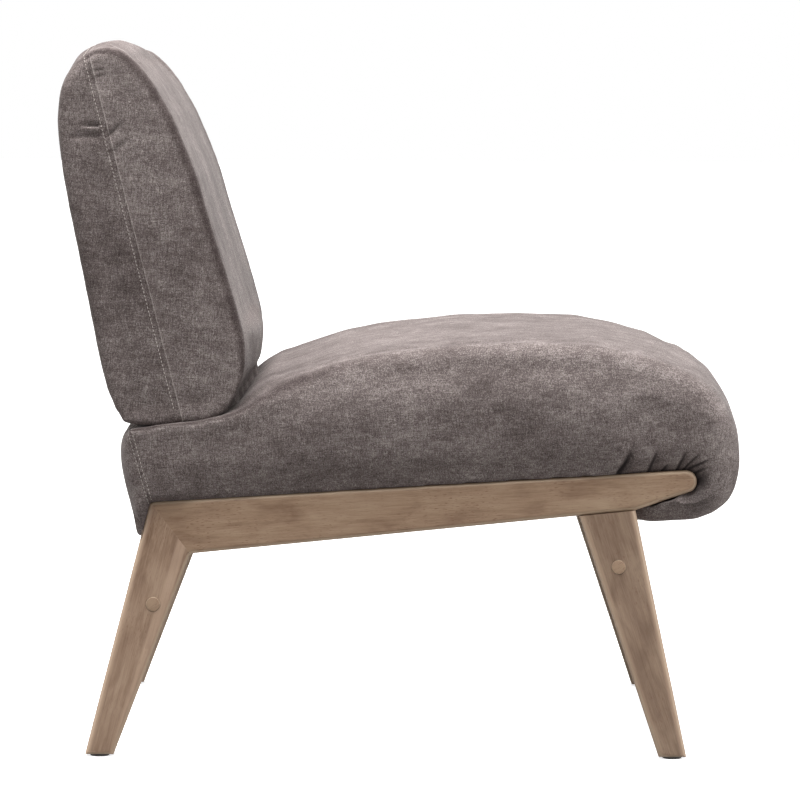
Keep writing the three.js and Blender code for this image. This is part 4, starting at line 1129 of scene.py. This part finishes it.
@dataclass
class SeatCushion(Cushion):
    """The crowned seat, whose front rolls over and under the rails' noses."""

    name: str = "seat_cushion"
    nodes: tuple[str, ...] = ("seat_foam", "seat_cover", "seat_cover_rear")
    inside: tuple[str, ...] = (
        "seat_front_rail", "seat_rear_rail", "seat_side_rail_left", "seat_side_rail_right")
    finish: "Chenille" = Chenille("chenille_seat", lean=RAIL.slope)
    seam: Seam = Seam(
        foot=0.0004, lean=math.radians(12.2), depth=0.0005, cord=0.0002, shoulder=0.0003)
    wood: WoodenSide = WoodenSide()
    gap: float = -0.0006
    closing: float = 0.007
    edge_rear: float = 0.2988
    edge_front: float = 0.2900
    span: float = 0.020
    reach_rear: float = 0.0070
    reach_front: float = 0.0120
    tuck_from: float = 0.490
    tuck_full: float = 0.565
    belly_top: float = 0.100
    belly_low: float = 0.045
    shoulder_draw: float = 0.0032
    foot_draw: float = 0.0060
    crown_ease: float = 0.0126
    rear_ease: float = 0.0050
    front_ease: float = 0.0096
    corner_fill: float = 0.0050
    under_fill: float = 0.0030
    brow_fill: float = 0.0280
    brow_power: int = 5
    rear_span: Spot = (0.24, 0.08)
    roll_span: Spot = (0.52, 0.56)
    corner_span: Spot = (0.0, 0.4)
    held_reach: float = 0.008
    under_end: Spot = (0.60, 0.004)
    shelf_end: Spot = (0.03, 0.085)
    edge_margin: float = 0.001
    fine_reach: float = 0.022
    top_steps: int = 48
    rear_end: Spot = (-0.040, -0.010)
    # Spots, reaches and shares of the painted shade and painted light on the cloth.
    recess: Spot = (0.6135, -0.0110)
    recess_reach: float = 0.0095
    ledge: Spot = (0.6100, -0.0350)
    ledge_reach: float = 0.0150
    ledge_shadow: float = 0.40
    shoulder_painted_shade: float = -1.60
    shoulder_span: Spot = (0.30, 0.16)
    shoulder_lit: Spot = (0.35, 0.75)
    full_fold: float = 0.003
    shadow_rear: float = 0.30
    shadow_front: float = 0.62
    shadow_share: float = 0.6
    below_rail: Spot = (0.0, -0.010)
    outer_margin: float = 0.010
    folds: tuple[Fold, ...] = folds_of(
        ((520.0, 1.0), (529.0, 14.0), (540.0, 34.0), 5.0, 3.0, 13.0),
        ((554.0, 1.0), (560.0, 14.0), (567.4, 30.0), 5.2, 1.6, 8.0),
        ((569.0, 1.0), (574.0, 6.0), (579.0, 10.0), 3.6, 1.4, 4.0),
        ((586.0, 1.0), (593.0, 14.0), (598.4, 27.0), 4.8, 1.5, 6.0),
        ((593.5, 1.5), (604.0, 12.0), (617.6, 24.2), 3.6, 1.3, 5.0),
        ((600.0, 2.0), (616.0, 9.5), (630.4, 15.1), 4.0, 1.4, 5.0),
        ((605.5, -3.0), (616.0, 2.0), (627.0, 5.5), 2.4, 1.6, 4.0),
    ) + (
        Fold(((0.5560, -0.0470), (0.5642, -0.0417), (0.5713, -0.0343)), depth=-0.0012, width=0.0012,
             slope=0.0020, fade_in=0.3),
    )

    def held(self, flat: Rows, across: Rows) -> Rows:
        """True round the wooden sides, on the underside and under the back."""
        wood, _ = self.wood.outline().measure(flat)
        inner = self.wood.inner_face
        beside = (wood < self.held_reach) & (np.abs(across) > inner - self.held_reach)
        under = (flat < np.array(self.under_end)).all(axis=1) & (np.abs(across) < inner)
        shelf = (flat[:, 0] < self.shelf_end[0]) & (flat[:, 1] > self.shelf_end[1])
        return beside | under | shelf

    def shape(self, places: Rows, outward: Rows) -> Rows:
        """The crown and roll eased, and the sides drawn in at top and foot, so they belly out."""
        flat = RAIL.side_view(places)
        side = ease(np.abs(places[:, 1]), self.wood.inner_face, self.wood.outer_face)
        top = self.crown_above(flat)
        draw = self.shoulder_draw * ease(top - flat[:, 1], self.belly_top, self.belly_top / 3)
        draw = draw + self.foot_draw * ease(flat[:, 1], self.belly_low, 0.0)
        shaped = places - outward * self.slimming(places, outward)[:, None]
        shaped[:, 1] -= np.sign(places[:, 1]) * draw * side
        return shaped

    def slimming(self, places: Rows, outward: Rows) -> Rows:
        """How far the crown and roll come in along their middle, negative where they fill out."""
        forward, upward = RAIL.facing(outward)
        over, front = np.maximum(upward, 0.0), np.maximum(forward, 0.0)
        along = RAIL.side_view(places)[:, 0]
        crown = self.crown_ease + self.rear_ease * ease(along, *self.rear_span)
        slim = crown * over ** self.flat_power + self.front_ease * front ** self.flat_power
        slim = slim - self.brow_fill * over * front ** self.brow_power
        corner = self.corner_fill * turning(outward) ** self.corner_power
        below = self.under_fill * np.maximum(-upward, 0.0) ** self.corner_power
        filled = corner * ease(upward, *self.corner_span) + below * ease(along, *self.roll_span)
        return slim * self.middle(places) - filled

    def crown_above(self, flat: Rows) -> Rows:
        """How high the seat's top stands over the rail, at each point's place along it."""
        steps = np.linspace(flat[:, 0].min(), flat[:, 0].max(), self.top_steps)
        slot = np.clip(np.searchsorted(steps, flat[:, 0]), 1, len(steps) - 1)
        highest = np.full(len(steps), -FAR)
        np.maximum.at(highest, slot, flat[:, 1])
        known = highest > -FAR
        middles = steps - (steps[1] - steps[0]) / 2
        return np.interp(flat[:, 0], middles[known], highest[known])

    def fit(self, places: Rows) -> Rows:
        """The points laid against the wooden sides, with no gap at their edge."""
        flat = RAIL.side_view(places)
        away, nearest = self.wood.outline().measure(flat)
        outside = np.abs(places[:, 1]) > self.wood.inner_face + self.edge_margin
        out = np.where(away[:, None] < 0, nearest - flat, flat - nearest)
        out = out / np.maximum(np.linalg.norm(out, axis=1), 1 / FAR)[:, None]
        laid = self.gap + np.maximum(away - self.gap, 0.0) * ease(away, self.gap, self.closing)
        behind = (flat < 0.0).all(axis=1)
        ended = np.where(away < self.closing, laid, away) - self.gap
        laid = np.where(behind, self.gap + ended * ease(flat[:, 1], *self.rear_end), laid)
        moved = RAIL.from_side_view(nearest + out * laid[:, None], places[:, 1])
        return np.where((outside & (behind | (away < self.closing)))[:, None], moved, places)

    def near_folds(self, flat: Rows) -> Rows:
        """Which points lie close to a fold, or turn in beside the rail's nose."""
        away, _ = self.wood.outline().measure(flat)
        return super().near_folds(flat) | ((away < self.fine_reach) & (flat[:, 0] > self.tuck_from))

    def tucked(self, places: Rows) -> Rows:
        """The points drawn in behind the edge of the wooden side, most at its nose."""
        flat = RAIL.side_view(places)
        away, _ = self.wood.outline().measure(flat)
        front = np.where(flat[:, 1] < 0, 1.0, ease(flat[:, 0], self.tuck_from, self.tuck_full))
        front = front * ease(flat[:, 0], 0.0, self.tuck_from)
        edge = self.edge_rear + (self.edge_front - self.edge_rear) * front
        reach = self.reach_rear + (self.reach_front - self.reach_rear) * front
        limit = edge + self.span * (1 - np.exp(-np.maximum(away, 0.0) / reach))
        inward = places.copy()
        inward[:, 1] = np.sign(places[:, 1]) * np.minimum(np.abs(places[:, 1]), limit)
        return inward

    def sculpt(self, piece: bpy.types.Object) -> None:
        """Presses the seam and pleats in, and draws the cloth in round the rails' noses."""
        super().sculpt(piece)
        put_places(piece.data, self.tucked(places_of(piece.data)))

    def nap(self, places: Rows, outward: Rows) -> Rows:
        """Painted shade in pleats and on shoulders by the back, painted highlight on pleats' lips.
        """
        creased = np.clip(self.folded(places) / self.full_fold, -1.0, 1.0)
        creased = creased * ease(np.abs(outward[:, 1]), *self.sideways)
        lit = ease(outward[:, 2], *self.shoulder_lit)
        lit = lit * ease(RAIL.side_view(places)[:, 0], *self.shoulder_span)
        return creased + self.shoulder_painted_shade * turning(outward) * lit

    def shadow(self, places: Rows, outward: Rows) -> Rows:
        """Painted shade in the pleats, close round the wood, and in the hollows by the rail's nose.
        """
        flat = RAIL.side_view(places)
        away, _ = self.wood.outline().measure(flat)
        front = ease(flat[:, 0], self.tuck_from, self.tuck_full)
        contact = self.shadow_rear + (self.shadow_front - self.shadow_rear) * front
        below = front * ease(flat[:, 1], *self.below_rail)
        reach = self.reach_rear + (self.reach_front - self.reach_rear) * below
        dim = contact * np.exp(-np.maximum(away, 0.0) / (self.shadow_share * reach))
        for spot, width, share in ((self.recess, self.recess_reach, self.shadow_front),
                                   (self.ledge, self.ledge_reach, self.ledge_shadow)):
            dim = dim + share * hill(np.hypot(*(flat - np.array(spot)).T), width)
        outer_end = self.wood.outer_face - self.outer_margin
        outer = ease(np.abs(places[:, 1]), self.wood.inner_face, outer_end)
        return np.clip(super().shadow(places, outward) + dim * outer, 0.0, 1.0)


@dataclass
class BackCushion(Cushion):
    """The thick leaning back, with a topstitched seam round its sides and top."""

    name: str = "back_cushion"
    nodes: tuple[str, ...] = ("back_foam", "back_cover", "back_cover_rear")
    inside: tuple[str, ...] = ("back_panel", "back_upper_rail", "back_lower_rail")
    finish: "Chenille" = Chenille("chenille_back", lean=RAIL.slope - math.radians(7.7))
    seam: Seam = Seam(foot=0.0591, lean=math.radians(10.8), depth=0.0003, shoulder=0.0006)
    # Painted shade behind the seam and on the lit shoulders, and a painted highlight along the
    # seam.
    rear_painted_shade: float = -0.40
    shoulder_painted_shade: float = -1.90
    line_painted_highlight: float = 1.6
    front_ease: float = 0.0126
    rear_ease: float = 0.0042
    brow_fill: float = 0.0165
    top_fill: float = 0.0036
    foot_fill: float = 0.0110
    corner_fill: float = 0.0130
    front_facing: Spot = (0.25, 0.8)
    foot_facing: Spot = (0.2, 0.7)
    top_facing: Spot = (0.25, -0.15)
    foot_span: Spot = (0.200, 0.170)
    shoulder_lit: Spot = (0.1, 0.6)
    top_power: int = 6
    side_limit: float = 0.1
    sink: float = 0.006
    touching: float = 0.004
    touching_below: float = 0.22
    held_below: float = 0.094
    line_edge: float = 0.0006
    folds: tuple[Fold, ...] = folds_of(
        ((-31.0, 418.6), (-43.0, 419.6), (-54.0, 419.0), 2.4, 1.4, 4.0),
        ((-33.0, 407.0), (-56.0, 408.5), (-74.0, 406.0), 1.6, 3.6, 6.0),
        ((-18.5, 409.5), (-10.0, 416.5), (0.0, 424.5), 1.8, 2.0, 5.0),
        ((-14.0, 393.0), (-7.0, 397.5), (3.0, 402.5), 1.4, 2.4, 5.0),
        ((-30.0, 480.0), (-18.0, 479.5), 1.0, 1.4, 3.0),
        ((-28.0, 473.5), (-15.0, 474.5), 0.8, 1.4, 3.0),
    ) + (
        Fold(((-0.0500, 0.4880), (-0.0270, 0.4995), (-0.0020, 0.4950)), depth=0.0012, width=0.0022,
             slope=0.0040, steep=Way.RIGHT, fade_in=0.3),
    )

    def shape(self, places: Rows, outward: Rows) -> Rows:
        """The faces and edges eased and filled, and the underside pressed into the seat."""
        above = RAIL.side_view(places)[:, 1]
        pressed = self.pressed(places, above)
        forward, upward = RAIL.facing(outward)
        over, behind = np.maximum(upward, 0.0), np.maximum(-forward, 0.0)
        middle = self.middle(places)
        slim = self.front_ease * ease(forward, *self.front_facing) * (1 - pressed)
        slim = slim / np.sqrt(np.maximum(middle, self.side_limit))
        slim = slim + self.rear_ease * behind ** self.flat_power
        slim = slim - self.brow_fill * (over * behind) ** 2 * 2
        slim = slim - self.top_fill * over ** self.top_power * ease(forward, *self.top_facing)
        foot = self.foot_fill * ease(above, *self.foot_span)
        slim = slim - foot * ease(forward, *self.foot_facing)
        filled = self.corner_fill * turning(outward) ** self.corner_power * (1 - pressed)
        return places + outward * (pressed * self.sink + filled - slim * middle)[:, None]

    def pressed(self, places: Rows, above: Rows) -> Rows:
        """1 at the points that rest on the seat's covers, and 0 elsewhere."""
        covers = [tree_of("seat_cover"), tree_of("seat_cover_rear")]
        pressed = np.zeros(len(places))
        for i in np.nonzero(above < self.touching_below)[0]:
            gaps = [tree.find_nearest(Vector(places[i]), self.touching)[3] for tree in covers]
            pressed[i] = any(gap is not None for gap in gaps)
        return pressed

    def held(self, flat: Rows, across: Rows) -> Rows:
        """True on the underside, which rests on the seat."""
        return flat[:, 1] < self.held_below

    def nap(self, places: Rows, outward: Rows) -> Rows:
        """Painted shade behind the seam and on the lit shoulders; a painted highlight along the
        seam.
        """
        ahead = self.seam.ahead(places)
        sewn = self.rear_painted_shade * ease(ahead, self.line_edge, -self.line_edge)
        sewn = sewn + self.line_painted_highlight * hill(ahead, self.seam.cord_width)
        lit = ease(sum(RAIL.facing(outward)), *self.shoulder_lit)
        return sewn + self.shoulder_painted_shade * turning(outward) * lit


# Hard pieces


def dress_nodes(chosen: dict[str, bpy.types.Material], fits: Callable) -> list[bpy.types.Object]:
    """Gives CAD nodes the materials that words in their names stand for.

    Args:
        chosen: the materials by word.
        fits: tells from a node's name whether it may be dressed.

    Returns:
        The nodes that were dressed.
    """
    dressed = []
    for name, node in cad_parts.items():
        for word, material in chosen.items():
            if word in name and fits(name):
                dress(node, material)
                dressed.append(node)
                LOG.info("%s: %s", name, material.name)
    return dressed


@dataclass
class TimberFrame:
    """The visible wooden frame: side rails, legs, stretchers and bolt plugs."""

    rear_leg_turn: float = math.radians(75.7)
    front_leg_turn: float = math.radians(108.2)
    plug_turn: float = math.radians(40)
    sharp_from: float = math.radians(50)
    face_weight: int = 100

    def smooth(self, node: bpy.types.Object) -> None:
        """Joins a node's loose faces for shading, so that its round edges look round."""
        shade_smooth(node.data)
        for name, kind, chosen in (
            ("Weld", "WELD", {"merge_threshold": MERGED}),
            ("Corners", "EDGE_SPLIT", {"split_angle": self.sharp_from, "use_edge_sharp": False}),
            ("Even", "WEIGHTED_NORMAL",
             {"mode": "FACE_AREA", "weight": self.face_weight, "keep_sharp": False}),
        ):
            modifier = node.modifiers.new(name, kind)
            for setting, value in chosen.items():
                setattr(modifier, setting, value)

    def build(self) -> None:
        """Dresses every visible wooden node."""
        rail = WeatheredWood("oak_rail", (0.0, RAIL.slope, 0.0)).material()
        # The legs get painted light, paler toward the floor, and painted highlights along given
        # edge lines.
        rear = WeatheredWood(
            "oak_rear_leg", (0.0, self.rear_leg_turn, 0.0), pale_tone_and_painted_light=0.16, contrast=1.4,
            dark=shade(102, 77, 61), middle=shade(134, 110, 91), light=shade(157, 134, 114),
            arris_highlights=((-0.3518, 0.2550), (-0.3188, 0.3168))).material()
        front = WeatheredWood(
            "oak_front_leg", (0.0, self.front_leg_turn, 0.0), pale_tone_and_painted_light=0.10, contrast=1.4,
            dark=shade(88, 68, 54), middle=shade(119, 98, 82), light=shade(140, 120, 102),
            arris_highlights=((0.3207, -0.2145), (0.2899, -0.3364))).material()
        cross = WeatheredWood("oak_stretcher", (0.0, 0.0, -math.pi / 2)).material()
        plug = WeatheredWood("oak_plug", (0.0, self.plug_turn, 0.0), contrast=0.7, pale_tone_and_painted_light=0.1,
                             paling_heights=(1.0, 0.9)).material()
        chosen = {"side_rail": rail, "rear_leg": rear, "front_leg": front, "stretcher": cross,
                  "plug": plug}
        for node in dress_nodes(chosen, lambda name: "bolt" not in name or "plug" in name):
            self.smooth(node)
        for side in ("left", "right"):
            for end in ("rear", "front"):
                name, leg = f"{end}_glue_line_{side}", f"{end}_leg_{side}"
                GlueLine(name, leg, f"side_rail_{side}").build(rail)


@dataclass(frozen=True)
class GlueLine:
    """The film of glue that fills the joint between a leg and its rail."""

    name: str
    leg: str
    rail: str
    widest: float = 0.0008
    share: float = 0.96

    def build(self, material: bpy.types.Material) -> bpy.types.Object:
        """Makes the film from the leg's faces that meet the rail, and returns it."""
        rail = tree_of(self.rail)
        made = copy_of_nodes([self.leg])
        made.normal_update()
        gaps = {}
        for face in made.faces:
            gap = rail.ray_cast(face.calc_center_median(), face.normal, self.widest)[3]
            if gap is not None:
                gaps[face] = gap
        thickness = min(gaps.values()) * self.share
        others = [face for face in made.faces if face not in gaps]
        bmesh.ops.delete(made, geom=others, context="FACES")
        bmesh.ops.solidify(made, geom=made.faces[:], thickness=-thickness)
        bmesh.ops.recalc_face_normals(made, faces=made.faces)
        LOG.info("%s: %.2f mm thick, %d faces", self.name, PER_METRE * thickness, len(made.faces))
        piece = new_object(self.name, made)
        dress(piece, material)
        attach(piece, BODY)
        return piece


@dataclass
class HiddenFrame:
    """Everything inside the seat and back: timber, straps, bolts, tenons and glides."""

    def build(self) -> None:
        """Dresses every hidden node."""
        words = {
            SOFTWOOD: ("tenon", "seat_front_rail", "seat_rear_rail", "seat_side_rail",
                       "corner_block", "back_post", "back_upper_rail", "back_lower_rail"),
            PLYWOOD: ("back_panel",),
            WEBBING: ("webbing",),
            NYLON: ("glide",),
            STEEL: ("barrel_nut", "bolt_left", "bolt_right"),
        }
        for finish, names in words.items():
            dress_nodes(dict.fromkeys(names, finish.material()), lambda name: "plug" not in name)


@dataclass
class DustCover:
    """The thin lining stapled under the seat, sagging a little between its edges."""

    name: str = "underseat_lining"
    sag: float = 0.004
    thickness: float = 0.0006
    squares: int = 60
    ripple: float = 0.0006
    ripple_turns: Spot = (4.0, 31.0)

    def build(self) -> bpy.types.Object:
        """Makes the lining and returns it."""
        low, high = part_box("dust_cover")
        rear_along, rear_above = RAIL.measure(Vector((low.x, 0.0, low.z)))
        front_along, front_above = RAIL.measure(Vector((high.x, 0.0, high.z)))
        half_length, half_width = (front_along - rear_along) / 2, (high.y - low.y) / 2
        middle = RAIL.point((rear_along + front_along) / 2, (rear_above + front_above) / 2)
        made = bmesh.new()
        bmesh.ops.create_grid(made, x_segments=self.squares, y_segments=self.squares, size=1.0)
        for vert in made.verts:
            along, across = vert.co.x, vert.co.y
            hang = (1 - along ** 4) * (1 - across ** 4) * self.sag
            wave = math.sin(along * self.ripple_turns[0] + across * self.ripple_turns[1])
            ripple = self.ripple * wave * (1 - along ** 2) * (1 - across ** 2)
            vert.co = Vector((along * half_length, across * half_width, ripple - hang))
        laid = Matrix.Translation(middle) @ Matrix.Rotation(-RAIL.slope, 4, "Y")
        bmesh.ops.transform(made, matrix=laid, verts=made.verts)
        piece = new_object(self.name, made)
        thick = piece.modifiers.new("Thickness", "SOLIDIFY")
        thick.thickness = self.thickness
        dress(piece, CAMBRIC.material())
        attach(piece, BODY)
        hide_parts("dust_cover")
        LOG.info("%s: %.3f by %.3f m", self.name, 2 * half_width, 2 * half_length)
        return piece


# The studio


@dataclass(frozen=True)
class Lamp:
    """One soft square lamp aimed at the chair's middle."""

    name: str
    place: tuple[float, float, float]
    size: float
    power: float
    aim: tuple[float, float, float] = (0.0, 0.0, 0.4)

    def build(self) -> None:
        """Hangs the lamp."""
        light = bpy.data.lights.new(self.name, "AREA")
        light.shape = "SQUARE"
        light.size = self.size
        light.energy = self.power
        made = linked(bpy.data.objects.new(self.name, light))
        turn = (Vector(self.aim) - Vector(self.place)).to_track_quat("-Z", "Y")
        made.matrix_world = Matrix.Translation(self.place) @ turn.to_matrix().to_4x4()
        made.visible_camera = False


@dataclass(frozen=True)
class Studio:
    """The camera at the photograph's place, soft light and a plain pale floor."""

    focal_length: float = 194.445
    sensor_width: float = 36.0
    clip_end: float = 200.0
    camera_place: tuple[float, float, float] = (-0.00148, -5.072, 0.76965)
    pitch: float = math.radians(4.416)
    roll: float = math.radians(0.29)
    sky_low: float = 0.35
    sky_high: float = 0.85
    sky_span: Spot = (-0.35, 0.85)
    sky_colour: Colour = (1.0, 0.99, 0.975, 1.0)
    white: Colour = (1.0, 1.0, 1.0, 1.0)
    floor_size: float = 60.0
    floor_colour: Colour = (0.93, 0.93, 0.93, 1.0)
    bounce_colour: Colour = (0.20, 0.196, 0.192, 1.0)
    floor_glow: float = 0.75
    lamps: tuple[Lamp, ...] = (
        Lamp("top_softbox", (-0.32, -0.35, 2.6), 2.2, 150.0),
        Lamp("front_softbox", (1.6, -0.6, 0.45), 0.8, 9.5),
        Lamp("rear_softbox", (-2.4, -1.6, 1.3), 1.4, 4.0),
    )

    def camera(self) -> None:
        """Places the camera."""
        lens = bpy.data.cameras.new("photograph_camera")
        lens.sensor_width = self.sensor_width
        lens.lens = self.focal_length
        lens.clip_end = self.clip_end
        made = linked(bpy.data.objects.new("photograph_camera", lens))
        aim = Euler((math.pi / 2 - self.pitch, 0.0, 0.0)).to_matrix().to_4x4()
        turn = aim @ Matrix.Rotation(self.roll, 4, "Z")
        made.matrix_world = Matrix.Translation(self.camera_place) @ turn
        bpy.context.scene.camera = made

    def world(self) -> None:
        """Soft light from all round, brighter from above, and white to the camera."""
        world = bpy.data.worlds.new("studio_sky")
        bpy.context.scene.world = world
        shader = Shader(world)
        way = shader.wire(shader.node("TexCoord"), "Generated")
        height = shader.wire(shader.node("SeparateXYZ", None, {0: way}), 2)
        rise = self.sky_high - self.sky_low
        level = shader.spread(height, *self.sky_span) * rise + self.sky_low
        lit = shader.node("Background", None, {"Color": self.sky_colour, "Strength": level})
        shown = shader.node("Background", None, {"Color": self.white, "Strength": 1.0})
        sockets = {0: shader.seen(), 1: shader.wire(lit), 2: shader.wire(shown)}
        mixed = shader.node("MixShader", None, sockets)
        shader.node("OutputWorld", None, {"Surface": shader.wire(mixed)})

    def floor(self) -> None:
        """Lays the pale floor, which keeps the chair's shadow."""
        made = bmesh.new()
        bmesh.ops.create_grid(made, x_segments=1, y_segments=1, size=self.floor_size / 2)
        piece = new_object("studio_floor", made)
        shader = Shader.named("pale_floor")
        pale = shader.node("BsdfDiffuse", None, {"Color": self.floor_colour})
        dull = shader.node("BsdfDiffuse", None, {"Color": self.bounce_colour})
        glow = shader.node("Emission", None, {"Color": self.white, "Strength": self.floor_glow})
        both = shader.node("AddShader", None, {0: shader.wire(pale), 1: shader.wire(glow)})
        sockets = {0: shader.seen(), 1: shader.wire(dull), 2: shader.wire(both)}
        mixed = shader.node("MixShader", None, sockets)
        shader.node("OutputMaterial", None, {"Surface": shader.wire(mixed)})
        dress(piece, shader.owner)

    def build(self) -> None:
        """Sets up the view, the light, the floor and the camera."""
        bpy.context.scene.view_settings.view_transform = "Standard"
        self.camera()
        self.world()
        for lamp in self.lamps:
            lamp.build()
        self.floor()


def main() -> None:
    """Builds the studio, the frame and the upholstery."""
    logging.basicConfig(level=logging.INFO, format="%(message)s")
    bpy.context.view_layer.update()
    Studio().build()
    TimberFrame().build()
    HiddenFrame().build()
    DustCover().build()
    seat, back = SeatCushion(), BackCushion()
    seat_piece, back_piece = seat.build(), back.build()
    thread = THREAD.material()
    for stitching, piece in (
        (Stitching("back_topstitch", back.seam, shift=-0.0064, above=0.100), back_piece),
        (Stitching("seat_topstitch_front", seat.seam, shift=0.0027, above=0.000), seat_piece),
        (Stitching("seat_topstitch_rear", seat.seam, shift=-0.0018, above=-0.006), seat_piece),
    ):
        stitches = stitching.build(piece)
        dress(stitches, thread)
        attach(stitches, BODY)
        LOG.info("%s: %d faces", stitches.name, len(stitches.data.polygons))
    bpy.context.view_layer.update()


if __name__ == "__main__":
    main()
